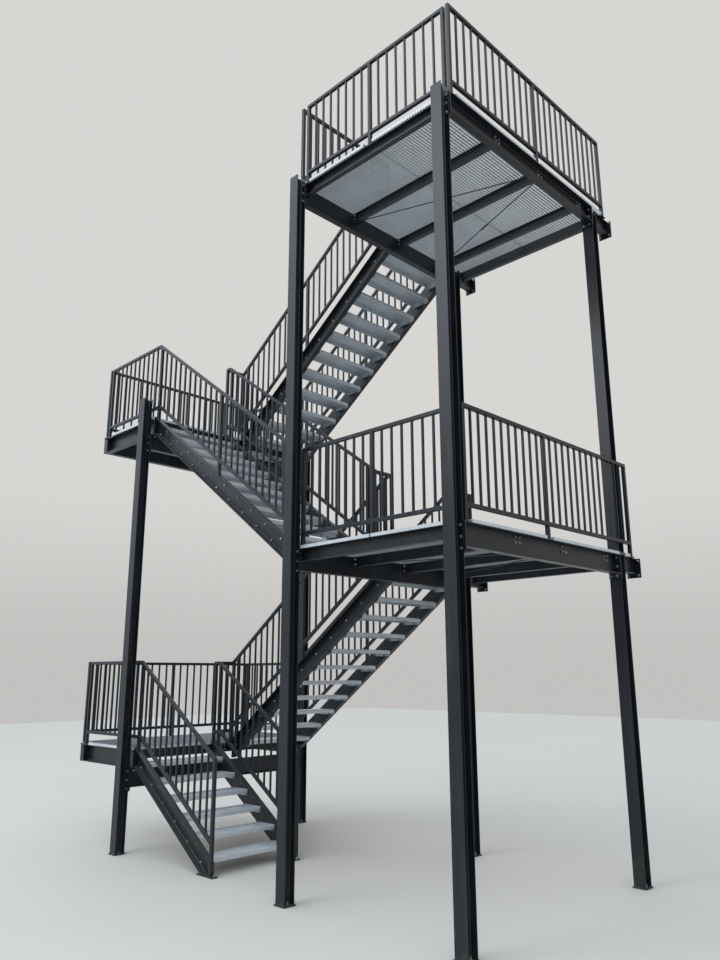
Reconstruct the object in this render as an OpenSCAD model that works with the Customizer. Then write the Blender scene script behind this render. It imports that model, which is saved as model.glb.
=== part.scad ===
// Fire escape stair: two door platforms, two half landings and four straight flights on six
// rolled columns. Units are mm, +Z is up, +X runs along the wall to the right, +Y runs towards
// the wall. The origin lies on the ground under the middle of the front right column.

/* [Columns] */
// width of the column flanges
col_b = 120; // [100:1:160]
// depth of the column from flange to flange
col_h = 114; // [90:1:130]
// thickness of the column web
col_web = 5; // [4:0.5:10]
// thickness of the column flanges
col_flange = 8; // [6:0.5:14]
// radius of the rolled root between column web and flange
col_root = 12; // [6:1:18]
// distance between the column rows, front to wall side
row_gap = 2690; // [2500:5:3000]
// column spacing along the door platforms
bay_door = 1950; // [1700:5:2400]
// column spacing along the flights
bay_flight = 2885; // [2700:5:3100]
// margin of the foot plates around the column
foot_margin = 10; // [5:1:40]
// thickness of the foot plates
foot_t = 12; // [8:1:25]
// half distance of the two anchor holes beside the column web
anchor_x = 35; // [30:1:45]
// diameter of the anchor holes
anchor_d = 14; // [10:1:18]
// how far the landing column stands above the upper landing floor
landing_stub = 228; // [50:1:400]
// how far the front door columns stand above the upper door floor
door_stub = 22; // [0:1:300]

/* [Levels] */
// floor of the lower half landing
lvl_l1 = 1127; // [1050:1:1200]
// floor of the lower door platform
lvl_p1 = 3135; // [2950:1:3300]
// floor of the upper half landing
lvl_l2 = 5105; // [4950:1:5250]
// floor of the upper door platform
lvl_p2 = 7098; // [6900:1:7300]

/* [Beams] */
// depth of the main beams
main_h = 200; // [180:1:240]
// flange width of the main beams
main_b = 75; // [65:1:90]
// web thickness of the main beams
main_web = 8.5; // [6:0.5:12]
// mean flange thickness of the main beams
main_flange = 11.5; // [8:0.5:16]
// depth of the edge beams under the door platforms
edge_h = 120; // [100:1:160]
// flange width of the edge beams
edge_b = 55; // [50:1:65]
// web thickness of the edge beams
edge_web = 7; // [5:0.5:10]
// mean flange thickness of the edge beams
edge_flange = 9; // [6:0.5:12]
// depth of the joists
joist_h = 100; // [80:1:140]
// flange width of the joists
joist_b = 55; // [45:1:75]
// web thickness of the joists
joist_web = 4.1; // [3:0.1:8]
// flange thickness of the joists
joist_flange = 5.7; // [4:0.1:10]
// radius of the rolled roots of channels and joists
beam_root = 8; // [4:1:12]
// thickness of the bolted end plates
plate_t = 12; // [8:1:20]
// how far the end plates of the main beams reach below the beams
plate_reach = 40; // [0:1:60]
// clear distance from the front columns to the flange tips of the front beams
front_gap = 30; // [15:1:60]
// middle of the first joist from the column line
joist_1_y = 875; // [700:5:1000]
// middle of the second joist from the column line
joist_2_y = 1637; // [1500:5:1800]
// middle of the third joist from the column line
joist_3_y = 2430; // [2250:5:2500]
// clear distance from the back columns to the web of the back edge beam
back_gap = 60; // [30:1:100]
// diameter of the bracing rods
brace_d = 12; // [8:1:20]
// length of the lugs that hold the bracing rods
brace_lug = 60; // [40:1:80]
// thickness of the closing plates on the open beam ends of the landings
cap_t = 10; // [6:1:12]
// how far the closing plates stand out past the flange tips
cap_over = 10; // [0:1:15]

/* [Wall ties] */
// clear distance from the back columns to the wall
wall_gap = 321; // [250:1:450]
// depth of the stub beams
stub_h = 160; // [140:1:180]
// flange width of the stub beams
stub_b = 82; // [70:1:95]
// width of the wall plates
bracket_w = 150; // [140:1:200]
// height of the wall plates
bracket_h = 200; // [190:1:260]
// half distance of the wall bolts across
wall_bolt_x = 55; // [53:1:60]
// half distance of the wall bolts in height
wall_bolt_z = 75; // [50:1:80]
// diameter of the wall bolt holes
wall_bolt_d = 14; // [10:1:18]

/* [Gratings] */
// depth of the floor gratings
grate_t = 30; // [25:1:40]
// how far the gratings stand out past the front and back flange tips
grate_over = 18; // [0:1:19]
// how far the gratings stay behind the side flange tips
grate_in = 6; // [0:1:15]
// how far the door gratings reach past the back columns
grate_back = 193; // [150:1:230]
// clear length of the half landings between their beam webs
landing_len = 1120; // [1000:5:1250]
// spacing of the bearing bars, every second one of the real grating
bearing_pitch = 66.6; // [50:0.1:90]
// thickness of the bearing bars
bearing_t = 3; // [2:0.5:5]
// spacing of the distance bars across the bearing bars
cross_pitch = 380; // [250:10:700]
// gap between neighbouring grating panels
seam = 6; // [3:1:15]
// clearance of the grating around posts and columns
notch_gap = 6; // [3:1:12]

/* [Flights] */
// depth of one tread step, nosing to nosing
going = 250; // [240:1:265]
// depth of a tread
tread_d = 270; // [262:1:300]
// height of the front and back lip of a tread
tread_h = 45; // [35:1:60]
// sheet thickness of a tread
tread_t = 3; // [2:0.5:5]
// height of the end plates of a tread
tread_plate_h = 70; // [60:1:90]
// clearance between the top tread of a flight and the platform beam
tread_gap = 3; // [1:0.5:6]
// outer radius of the folded edges of a tread
tread_r = 6; // [5:1:10]
// depth of the stringers
string_h = 180; // [160:1:220]
// flange width of the stringers
string_b = 70; // [60:1:80]
// web thickness of the stringers
string_web = 8; // [6:0.5:10]
// mean flange thickness of the stringers
string_flange = 11; // [8:0.5:14]
// how far the end plates of the stringers stay inside the flange tips
plate_in = 2; // [1:0.5:4]
// length of the treads
tread_len = 1000; // [900:5:1050]
// how far the stringer top edge stands above the nosings, measured plumb
string_up = 5; // [0:1:20]
// distance from the lowest nosing to the foot posts of the lowest flight
foot_post_back = 60; // [40:1:80]
// length of the foot plates under the lowest flight
foot_len = 270; // [220:5:400]
// how far these foot plates reach past the foot posts
foot_past = 50; // [30:1:120]

/* [Railings] */
// height of the level railings above the floor
rail_top = 970; // [900:5:1100]
// top of the bottom rail above the floor
rail_low = 135; // [110:5:180]
// extra height of the sloping top rails over the nosing line
slope_up = 30; // [10:1:50]
// extra height of the sloping bottom rails over the nosing line
slope_low_up = 70; // [40:1:90]
// side of the square posts
post_s = 35; // [30:1:50]
// width and height of the top and bottom rails
rail_s = 35; // [30:1:45]
// side of the square balusters
bar_s = 20; // [10:1:28]
// largest spacing of the balusters
bar_max = 122; // [100:1:140]
// distance from the front flange tips to the middle of the railings
rail_in = 20; // [18:1:25]
// distance from the side flange tips to the middle of the railings
rail_side_in = 33; // [25:1:40]
// middle post of the lower door platform's side railing from the column line
side_post_low = 1330; // [1000:5:1700]
// middle post of the upper door platform's side railing from the column line
side_post_high = 1540; // [1000:5:1700]
// middle post of a flight's railings from its top nosing
flight_mid = 1422; // [1200:2:1500]
// length of the foot plates under the posts
shoe_l = 96; // [80:1:100]
// how far the foot plates of the corner posts are shifted away from the corner
shoe_shift = 12; // [10:1:20]
// width of the foot plates under the posts
shoe_b = 45; // [40:1:50]
// thickness of the foot plates under the posts
shoe_t = 8; // [6:1:12]

/* [Hidden] */
steps_1 = 7;
steps = 11;
root_faces = 3;
flange_slope = 0.08;
joint = 1;
x_c = 0;
x_b = -bay_door;
x_a = -bay_door - bay_flight;
y_f = col_h / 2;
y_r = row_gap - col_h / 2;
y_back = row_gap + col_h / 2;
wall_y = y_back + wall_gap;
front_tip = y_f + front_gap;
back_tip = row_gap - front_tip;
door_l = x_b - main_b;
door_r = x_c + main_b;
land_r = x_a + main_b;
land_web_l = x_a - landing_len;
land_l = land_web_l - main_b;
rail_f = front_tip + rail_in;
rail_b = back_tip - rail_in;
rail_door_l = door_l + rail_side_in;
rail_door_r = door_r - rail_side_in;
rail_land_r = land_r - rail_side_in;
rail_land_l = land_l + rail_side_in;
door_post_b = y_back + grate_back - rail_in;
rise_1 = lvl_l1 / steps_1;
rise_2 = (lvl_p1 - lvl_l1) / steps;
rise_3 = (lvl_l2 - lvl_p1) / steps;
rise_4 = (lvl_p2 - lvl_l2) / steps;
// web backs of the four stringer lines
lane_f0 = front_tip + string_b;
lane_f1 = lane_f0 + tread_len;
lane_b1 = back_tip - string_b;
lane_b0 = lane_b1 - tread_len;
rail_f1 = lane_f1 + string_b - rail_in;
rail_b0 = lane_b0 - string_b + rail_in;
foot_x = land_r + (steps_1 - 1) * going + foot_post_back;
// run of a flight between two platforms, and what is left in front of its lowest step
run = door_l - land_r;
level_gap = steps * going - run + 2 * tread_t;
// posts of the level railings
front_post_l = x_b + col_b / 2 - rail_s / 3;
front_post_r = x_c - post_s / 2 - joint;
land_post_l = land_web_l + rail_in;
// posts of the sloping railings, as distances past the top nosing
t_edge = rail_side_in;
t_corner = -2 * post_s;
t_mid = -flight_mid;
t_foot = land_r - foot_x;
steel = [0.24, 0.27, 0.30];
zinc = [0.68, 0.71, 0.73];

// Helpers for outlines

// points on an arc about c from angle a0 to a1
function arc(c, r, a0, a1) =
  [for (i = [0:root_faces]) let (a = a0 + (a1 - a0) * i / root_faces) c + r * [cos(a), sin(a)]];

// channel outline: web back on x = 0, flanges towards +x, top edge on y = 0
module channel_2d(h, b, tw, tf) {
  fall = flange_slope * (b - tw) / 2;
  root_y = tf + fall - flange_slope * beam_root + beam_root;
  polygon(concat(
    [[0, -h], [b, -h], [b, -h + tf - fall]],
    arc([tw + beam_root, -h + root_y], beam_root, 270, 180),
    arc([tw + beam_root, -root_y], beam_root, 180, 90),
    [[b, -tf + fall], [b, 0], [0, 0]]));
}

// one half of an I outline, to the right of the middle of the web, top edge on y = 0
module half_i_2d(h, b, tw, tf, r) {
  polygon(concat(
    [[0, -h], [b / 2, -h], [b / 2, -h + tf]],
    arc([tw / 2 + r, -h + tf + r], r, 270, 180),
    arc([tw / 2 + r, -tf - r], r, 180, 90),
    [[b / 2, -tf], [b / 2, 0], [0, 0]]));
}

module i_2d(h, b, tw, tf, r) {
  half_i_2d(h, b, tw, tf, r);
  mirror([1, 0]) half_i_2d(h, b, tw, tf, r);
}

// Helpers for solids

module box(x0, x1, y0, y1, z0, z1) {
  translate([x0, y0, z0]) cube([x1 - x0, y1 - y0, z1 - z0]);
}

// a channel laid along +X from x0 to x1, web back on y = yb, flanges towards dir
module channel_x(x0, x1, yb, zt, dir, h, b, tw, tf) {
  translate([x0, yb, zt]) rotate([90, 0, 90])
    linear_extrude(x1 - x0) scale([dir, 1]) channel_2d(h, b, tw, tf);
}

// a channel laid along +Y from y0 to y1, web back on x = xb, flanges towards dir
module channel_y(y0, y1, xb, zt, dir, h, b, tw, tf) {
  translate([xb, y1, zt]) rotate([90, 0, 0])
    linear_extrude(y1 - y0) scale([dir, 1]) channel_2d(h, b, tw, tf);
}

// a joist along +X at y with its bolted end plates
module joist_x(x0, x1, y, zt) {
  translate([x0, y, zt]) rotate([90, 0, 90])
    linear_extrude(x1 - x0) i_2d(joist_h, joist_b, joist_web, joist_flange, beam_root);
  for (x = [x0, x1 - plate_t])
    box(x, x + plate_t, y - joist_b / 2 - plate_t, y + joist_b / 2 + plate_t, zt - joist_h, zt);
}

// a flat outline in the XZ plane given width b, centred on y
module plumb(y, b) {
  translate([0, y + b / 2, 0]) rotate([90, 0, 0]) linear_extrude(b) children();
}

// Columns

module column(x, y, top) {
  margin = 2 * foot_margin;
  color(steel) translate([x, y, 0]) {
    translate([0, 0, foot_t]) linear_extrude(top - foot_t) translate([0, col_h / 2])
      i_2d(col_h, col_b, col_web, col_flange, col_root);
    difference() {
      translate([-(col_b + margin) / 2, -(col_h + margin) / 2, 0])
        cube([col_b + margin, col_h + margin, foot_t]);
      for (s = [-1, 1]) translate([s * anchor_x, 0, -joint])
        cylinder(d = anchor_d, h = foot_t + 2 * joint, $fn = 32);
    }
  }
}

module column_landing_front() column(x_a, 0, lvl_l2 + landing_stub);
module column_mid_front() column(x_b, 0, lvl_p2 + door_stub);
module column_door_front() column(x_c, 0, lvl_p2 + door_stub);
module column_door_back() column(x_c, row_gap, lvl_p2 - grate_t);
module column_mid_back() column(x_b, row_gap, lvl_p2 - grate_t);
module column_landing_back() column(x_a, row_gap, lvl_l2 - grate_t);

// Platform frames

// an end plate across a channel and the column flange it is bolted to
module end_plate(xb, dir, y0, zt) {
  xs = [xb + dir * main_b, xb - dir * col_b / 2];
  box(min(xs), max(xs), y0, y0 + plate_t, zt - main_h - plate_reach, zt);
}

// one main beam along Y between the column rows, with an end plate at each end
module main_beam(xb, dir, zt) {
  channel_y(y_f + plate_t, y_r - plate_t, xb, zt, dir, main_h, main_b, main_web, main_flange);
  end_plate(xb, dir, y_f, zt);
  end_plate(xb, dir, y_r - plate_t, zt);
}

module door_main_beams(lvl) {
  color(steel) {
    main_beam(x_b, -1, lvl - grate_t);
    main_beam(x_c, 1, lvl - grate_t);
  }
}

module door_cross_beams(lvl) {
  zt = lvl - grate_t;
  color(steel) {
    channel_x(x_b, x_c, front_tip + edge_b, zt, -1, edge_h, edge_b, edge_web, edge_flange);
    for (y = [joist_1_y, joist_2_y, joist_3_y]) joist_x(x_b, x_c, y, zt);
    channel_x(x_b + stub_b / 2, x_c - stub_b / 2, y_back + back_gap, zt, 1, edge_h, edge_b,
              edge_web, edge_flange);
  }
}

module landing_main_beams(lvl) {
  zt = lvl - grate_t;
  color(steel) {
    main_beam(x_a, 1, zt);
    channel_y(front_tip + cap_t, back_tip - cap_t, land_web_l, zt, -1, main_h, main_b, main_web,
              main_flange);
    for (y = [front_tip, back_tip - cap_t])
      box(land_l - cap_over, land_web_l, y, y + cap_t, zt - main_h, zt);
  }
}

module landing_cross_beams(lvl) {
  zt = lvl - grate_t;
  color(steel) {
    channel_x(land_web_l, x_a, front_tip + main_b, zt, -1, main_h, main_b, main_web, main_flange);
    joist_x(land_web_l, x_a, row_gap / 2, zt);
    channel_x(land_web_l, x_a, back_tip - main_b, zt, 1, main_h, main_b, main_web, main_flange);
  }
}

module door_low_main_beams() door_main_beams(lvl_p1);
module door_low_cross_beams() door_cross_beams(lvl_p1);
module door_high_main_beams() door_main_beams(lvl_p2);
module door_high_cross_beams() door_cross_beams(lvl_p2);
module landing_low_main_beams() landing_main_beams(lvl_l1);
module landing_low_cross_beams() landing_cross_beams(lvl_l1);
module landing_high_main_beams() landing_main_beams(lvl_l2);
module landing_high_cross_beams() landing_cross_beams(lvl_l2);

// stub beams from the back columns to the wall with their wall plates
module wall_brackets() {
  color(steel) for (lvl = [lvl_p1, lvl_p2], x = [x_b, x_c]) {
    zt = lvl - grate_t;
    translate([x, wall_y - plate_t, zt]) rotate([90, 0, 0])
      linear_extrude(wall_gap - plate_t)
        i_2d(stub_h, stub_b, col_web, col_flange, beam_root);
    difference() {
      box(x - bracket_w / 2, x + bracket_w / 2, wall_y - plate_t, wall_y, zt - bracket_h, zt);
      for (sx = [-1, 1], sz = [-1, 1])
        translate([x + sx * wall_bolt_x, wall_y + joint, zt - bracket_h / 2 + sz * wall_bolt_z])
          rotate([90, 0, 0]) cylinder(d = wall_bolt_d, h = plate_t + 2 * joint, $fn = 32);
    }
  }
}

// two rods in a V that meet beside the middle joist, each held by a lug on the beam webs
module door_high_bracing() {
  z = lvl_p2 - grate_t - 2 * joist_h / 3;
  color(steel) for (s = [-1, 1]) {
    from = [x_b + brace_lug, s < 0 ? joist_1_y + joist_b : joist_3_y - joist_b];
    to = [x_c - brace_lug, joist_2_y + s * joist_b];
    turn = atan2(to.y - from.y, to.x - from.x);
    translate([from.x, from.y, z]) rotate([0, 0, turn])
      rotate([0, 90, 0]) cylinder(d = brace_d, h = norm(to - from), $fn = 8);
    for (e = [[x_b, from.x + brace_d, from.y], [to.x - brace_d, x_c, to.y]])
      box(e[0], e[1], e[2] - brace_d / 3, e[2] + brace_d / 3, z - 2 * brace_d, z + 2 * brace_d);
  }
}

// Gratings

// one grating panel: edge strips, bearing bars along Y and flat distance bars along X
module grating_panel(x0, x1, y0, y1, zt) {
  z0 = zt - grate_t;
  bars = round((x1 - x0 - bearing_t) / bearing_pitch);
  ties = round((y1 - y0 - bearing_t) / cross_pitch);
  for (i = [0:bars]) let (x = x0 + (x1 - x0 - bearing_t) * i / bars)
    box(x, x + bearing_t, y0, y1, z0, zt);
  for (i = [0:ties]) let (y = y0 + (y1 - y0 - bearing_t) * i / ties)
    box(x0, x1, y, y + bearing_t, z0, zt);
}

// a pocket in the grating round a post shoe that lies along X or along Y, open to the front
// by the given depth
module shoe_notch(x, y, along_x, zt, open = 0) {
  lx = (along_x ? shoe_l : shoe_b) / 2 + notch_gap;
  ly = (along_x ? shoe_b : shoe_l) / 2 + notch_gap;
  box(x - lx, x + lx, y - ly - open, y + ly, zt - grate_t - joint, zt + joint);
}

// floor of a door platform in two panels; the back columns pass through the lower one only
module door_grating(lvl, side_post, passes, open) {
  y0 = front_tip - grate_over;
  y1 = y_back + grate_back;
  x0 = door_l + grate_in;
  x1 = door_r - grate_in;
  xm = (x_b + x_c) / 2;
  ly = col_h / 2 + notch_gap;
  lx = col_b / 2 + notch_gap;
  color(zinc) difference() {
    union() {
      grating_panel(x0, xm - seam / 2, y0, y1, lvl);
      grating_panel(xm + seam / 2, x1, y0, y1, lvl);
    }
    if (passes) for (x = [x_c, x_b])
      box(x - lx, x + lx, row_gap - ly, row_gap + ly, lvl - grate_t - joint, lvl + joint);
    for (x = [front_post_l, xm, front_post_r - shoe_shift]) shoe_notch(x, rail_f, true, lvl, open);
    for (y = [rail_f, side_post, door_post_b]) shoe_notch(rail_door_r, y, false, lvl);
    for (y = [rail_f1, rail_b0, rail_b, door_post_b]) shoe_notch(rail_door_l, y, false, lvl);
    shoe_notch(rail_door_l, rail_f, false, lvl);
  }
}

module landing_grating(lvl) {
  xs = [land_l + grate_in, land_r - grate_in];
  color(zinc) difference() {
    grating_panel(xs[0], xs[1], front_tip - grate_over, back_tip + grate_over, lvl);
    for (y = [rail_f1, rail_b0, rail_b]) shoe_notch(rail_land_r, y, false, lvl);
    for (y = [rail_f, row_gap / 2, rail_b]) shoe_notch(rail_land_l, y, false, lvl);
    for (y = [rail_f, rail_b]) shoe_notch(land_post_l + shoe_shift, y, true, lvl);
  }
}

module door_low_grating() door_grating(lvl_p1, side_post_low, true, 0);
module door_high_grating() door_grating(lvl_p2, side_post_high, false, shoe_b);
module landing_low_grating() landing_grating(lvl_l1);
module landing_high_grating() landing_grating(lvl_l2);

// Flights

// one stringer: a channel on the slope, cut plumb at both ends, web back on y = yb.
// It is drawn climbing towards +x from t0 to t1, with the top nosing at t = 0
module stringer(t0, t1, zt, rise, yb, fdir) {
  ang = atan(rise / going);
  over = string_h;
  intersection() {
    translate([t1, yb, zt + t1 * rise / going + string_up]) rotate([0, -ang, 0])
      channel_x((t0 - t1) / cos(ang) - over, over, 0, 0, fdir, string_h, string_b, string_web,
                string_flange);
    box(t0, t1, yb - string_b - joint, yb + string_b + joint, foot_t, lvl_p2 + string_h);
  }
}

// the two stringers of a flight and the end plates that bolt them to the beams
module flight_stringers(xt, zt, rise, dir, t0, y0, y1, foot) {
  drop = string_h / cos(atan(rise / going));
  color(steel) translate([xt, 0, 0]) scale([dir, 1, 1]) {
    for (s = [[y0, -1], [y1, 1]]) stringer(t0 + plate_t, -plate_t, zt, rise, s[0], s[1]);
    for (y = [y0 - string_b, y1]) {
      end = [y + plate_in, y + string_b - plate_in];
      z_low = zt + t0 * rise / going + string_up;
      box(-plate_t, 0, end[0], end[1], zt + string_up - drop, zt + string_up);
      if (!foot) box(t0, t0 + plate_t, end[0], end[1], z_low - drop, z_low);
    }
  }
}

// outline of a folded tread: rounded front and back edge, open underneath
module tread_2d(depth) {
  a = tread_r;
  b = tread_r - tread_t;
  polygon(concat(
    [[0, -tread_h]], arc([a, -a], a, 180, 90),
    arc([depth - a, -a], a, 90, 0), [[depth, -tread_h], [depth - tread_t, -tread_h]],
    arc([depth - a, -a], b, 0, 90), arc([a, -a], b, 90, 180),
    [[tread_t, -tread_h]]));
}

// one tread with its nosing at x = 0 and its end plates against the stringer webs
module tread(zt, y0, y1, depth) {
  translate([0, 0, zt]) {
    plumb((y0 + y1) / 2, y1 - y0) tread_2d(depth);
    for (y = [y0, y1 - tread_t])
      box(2 * tread_t, depth - 2 * tread_t, y, y + tread_t, -tread_plate_h, -tread_t / 2);
  }
}

// treads of a flight with its top nosing at xt, climbing towards dir; the top one is cut back
// to clear the platform beam, and a flight that leaves a platform has one more tread, level
// with it
module flight_treads(xt, n, zt, rise, dir, y0, y1, first_level) {
  color(zinc) translate([xt, 0, 0]) scale([dir, 1, 1]) {
    for (k = [1:n - 1]) translate([-(n - k) * going, 0, 0])
      tread(zt - (n - k) * rise, y0, y1, k < n - 1 ? tread_d : going - tread_gap);
    if (first_level) translate([-n * going + level_gap, 0, 0])
      tread(zt - n * rise, y0, y1, tread_d);
  }
}

module flight_1_stringers() {
  t0 = t_foot + post_s / 2 - plate_t;
  flight_stringers(land_r, lvl_l1, rise_1, -1, t0, lane_f0, lane_f1, true);
  color(steel) for (y = [lane_f0 - string_b, lane_f1])
    box(foot_x + foot_past - foot_len, foot_x + foot_past, y, y + string_b, 0, foot_t);
}
module flight_2_stringers()
  flight_stringers(door_l, lvl_p1, rise_2, 1, -run, lane_b0, lane_b1, false);
module flight_3_stringers()
  flight_stringers(land_r, lvl_l2, rise_3, -1, -run, lane_f0, lane_f1, false);
module flight_4_stringers()
  flight_stringers(door_l, lvl_p2, rise_4, 1, -run, lane_b0, lane_b1, false);

module flight_1_treads()
  flight_treads(land_r, steps_1, lvl_l1, rise_1, -1, lane_f0, lane_f1, false);
module flight_2_treads()
  flight_treads(door_l, steps, lvl_p1, rise_2, 1, lane_b0, lane_b1, true);
module flight_3_treads()
  flight_treads(land_r, steps, lvl_l2, rise_3, -1, lane_f0, lane_f1, true);
module flight_4_treads()
  flight_treads(door_l, steps, lvl_p2, rise_4, 1, lane_b0, lane_b1, true);

// Railings

// normal that points down from a rail that runs from p to q towards +x
function below(p, q) = [(q - p).y, -(q - p).x] / norm(q - p);

// point of the rail's underside under point i, mitred at bends and plumb at the ends
function under(pts, i) =
  let (n = len(pts) - 1, a = i > 0 ? below(pts[i - 1], pts[i]) : undef,
       b = i < n ? below(pts[i], pts[i + 1]) : undef)
  i == 0 ? pts[i] + [0, rail_s / b.y] :
  i == n ? pts[i] + [0, rail_s / a.y] : pts[i] + rail_s * (a + b) / (1 + a * b);

// a square rail that hangs under the line through pts
module rail_line(pts, y) {
  n = len(pts) - 1;
  plumb(y, rail_s) polygon(concat(pts, [for (i = [n:-1:0]) under(pts, i)]));
}

// a post under the rail line top, on a foot plate at height z or, with z undef, on the
// sloping stringer flange; the foot plate lies along the panel, moved by shift, or across the
// panel where shift is undef
module post(x, z, shift, y, top, flange) {
  half = post_s / 2;
  zt = lookup(x, top) - rail_s / 2;
  z0 = z == undef ? lookup(x - half, flange) : z;
  z1 = z == undef ? lookup(x + half, flange) : z;
  plumb(y, post_s) polygon([[x - half, z0], [x + half, z1], [x + half, zt], [x - half, zt]]);
  across = shift == undef;
  if (z != undef && z > foot_t) translate([across ? x : x + shift, y, z + shoe_t / 2])
    cube(across ? [shoe_b, shoe_l, shoe_t] : [shoe_l, shoe_b, shoe_t], center = true);
}

// balusters between two rail lines, evenly spaced between neighbouring marks
module balusters(marks, y, top, low) {
  for (k = [0:len(marks) - 2]) {
    bays = ceil((marks[k + 1] - marks[k]) / bar_max);
    pitch = (marks[k + 1] - marks[k]) / bays;
    if (bays > 1) for (i = [1:bays - 1]) let (x = marks[k] + i * pitch)
      box(x - bar_s / 2, x + bar_s / 2, y - bar_s / 2, y + bar_s / 2,
          lookup(x, low) - rail_s / 2, lookup(x, top) - rail_s / 2);
  }
}

// a railing panel along X at y with its rails, posts as [x, foot height, shoe shift] and
// balusters between the marks
module panel(top, low, posts, marks, y, flange) {
  rail_line(top, y);
  rail_line(low, y);
  for (p = posts) post(p[0], p[1], p[2], y, top, flange);
  balusters(marks, y, top, low);
}

// a level panel along X from x0 to x1 with posts on the beams, as [x, shoe shift]
module level_panel(x0, x1, y, lvl, posts, marks) {
  panel([[x0, lvl + rail_top], [x1, lvl + rail_top]], [[x0, lvl + rail_low], [x1, lvl + rail_low]],
        [for (p = posts) [p[0], lvl - grate_t, p[1]]], marks, y, []);
}

// a level panel along Y at x
module level_panel_y(y0, y1, x, lvl, posts, marks) {
  translate([x, 0, 0]) rotate([0, 0, 90]) level_panel(y0, y1, 0, lvl, posts, marks);
}

module door_front_rail(lvl) {
  half = post_s / 2;
  mid = (x_b + x_c) / 2;
  color(steel) level_panel(front_post_l - half, front_post_r + half, rail_f, lvl,
                           [[front_post_l, 0], [mid, 0], [front_post_r, -shoe_shift]],
                           [front_post_l, mid, front_post_r]);
}

module door_side_rail(lvl, side_post) {
  half = post_s / 2;
  ys = [rail_f, side_post, door_post_b];
  color(steel) level_panel_y(rail_f - half, door_post_b + half, rail_door_r, lvl,
                             [for (y = ys) [y, 0]], ys);
}

module door_low_front_rail() door_front_rail(lvl_p1);
module door_low_side_rail() door_side_rail(lvl_p1, side_post_low);
module door_high_front_rail() door_front_rail(lvl_p2);
module door_high_side_rail() door_side_rail(lvl_p2, side_post_high);

// the left railing of the upper door platform ends at the inner railing of the last flight
module door_high_left_rail() {
  half = post_s / 2;
  color(steel) level_panel_y(rail_f - half, rail_b0 - half, rail_door_l, lvl_p2,
                             [[rail_f, 0], [rail_f1, 0]], [rail_f, rail_f1, rail_b0]);
}

// height of a line that follows the nosings of a flight and stays level past its ends; t is
// the distance past the top nosing, up the height over the nosings
function line_z(t, zt, zb, rise, up) = min(max(zt + t * rise / going + up, zb), zt);

// the points of such a line from t0 to t1, lifted by h
function line_pts(t0, t1, zt, zb, rise, up, h) =
  let (low = (zb - zt - up) * going / rise, high = -up * going / rise,
       bends = [for (t = [low, high]) if (t > t0 && t < t1) t])
  [for (t = concat([t0], bends, [t1])) [t, line_z(t, zt, zb, rise, up) + h]];

// a railing panel of a flight at y from t0 to t1, with posts as [t, foot height, shoe shift]
module flight_panel(xt, dir, y, t0, t1, zt, zb, rise, posts, marks) {
  color(steel) translate([xt, 0, 0]) scale([dir, 1, 1])
    panel(line_pts(t0, t1, zt, zb, rise, slope_up, rail_top),
          line_pts(t0, t1, zt, zb, rise, slope_low_up, rail_low), posts, marks, y,
          [for (t = [t0, t1]) [t, zt + t * rise / going + string_up]]);
}

// front railing of a landing, which bends over its corner post into the flight below
module landing_front_rail(lvl, rise) {
  half = post_s / 2;
  t_end = land_r - land_post_l;
  flight_panel(land_r, -1, rail_f, t_corner - half, t_end + half, lvl, lvl - run, rise,
               [[t_corner, undef], [t_end, lvl - grate_t, -shoe_shift]], [t_corner, t_end]);
}

module landing_end_rail(lvl) {
  half = post_s / 2;
  ys = [rail_f, row_gap / 2, rail_b];
  color(steel) level_panel_y(rail_f - half, rail_b + half, rail_land_l, lvl,
                             [for (y = ys) [y, 0]], ys);
}

// back railing of a landing, which meets the outer railing of the flight above
module landing_back_rail(lvl) {
  half = post_s / 2;
  color(steel) level_panel(land_post_l - half, rail_land_r - half, rail_b, lvl,
                           [[land_post_l, shoe_shift]], [land_post_l, rail_land_r]);
}

module landing_low_front_rail() landing_front_rail(lvl_l1, rise_1);
module landing_low_end_rail() landing_end_rail(lvl_l1);
module landing_low_back_rail() landing_back_rail(lvl_l1);
module landing_high_front_rail() landing_front_rail(lvl_l2, rise_3);
module landing_high_end_rail() landing_end_rail(lvl_l2);
module landing_high_back_rail() landing_back_rail(lvl_l2);

// outer railing of a flight in the front lane, from the corner post of the landing down
module front_outer_rail(zt, zb, rise, t_low, z_low) {
  half = post_s / 2;
  mid = t_low < -run ? [[t_mid, undef]] : [];
  flight_panel(land_r, -1, rail_f, t_low - half, t_corner - half, zt, zb, rise,
               concat([[t_low, z_low, undef]], mid),
               concat([t_low], [for (m = mid) m[0]], [t_corner]));
}

// outer railing of a flight in the back lane, with a return towards the wall at its top
module back_outer_rail(zt, zb, rise) {
  half = post_s / 2;
  marks = [-run - t_edge, -run - t_corner, t_mid, t_corner, t_edge];
  flight_panel(door_l, 1, rail_b, marks[0] - half, t_edge + half, zt, zb, rise,
               [[marks[0], zb - grate_t, undef], [marks[1], undef], [t_mid, undef],
                [t_corner, undef], [t_edge, zt - grate_t, undef]], marks);
  color(steel) level_panel_y(rail_b + half, door_post_b + half, rail_door_l, zt,
                             [[door_post_b, 0]], [rail_b, door_post_b]);
}

// inner railing of a flight between two platforms or, for the lowest one, from its foot
module inner_rail(xt, dir, y, zt, zb, rise, t_low, z_low) {
  half = post_s / 2;
  between = t_low < -run ? [-run - t_corner, t_mid, t_corner] : [t_corner];
  flight_panel(xt, dir, y, t_low - half, t_edge + half, zt, zb, rise,
               concat([[t_low, z_low, undef]], [for (t = between) [t, undef]],
                      [[t_edge, zt - grate_t, undef]]),
               concat([t_low], between, [t_edge]));
}

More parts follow.
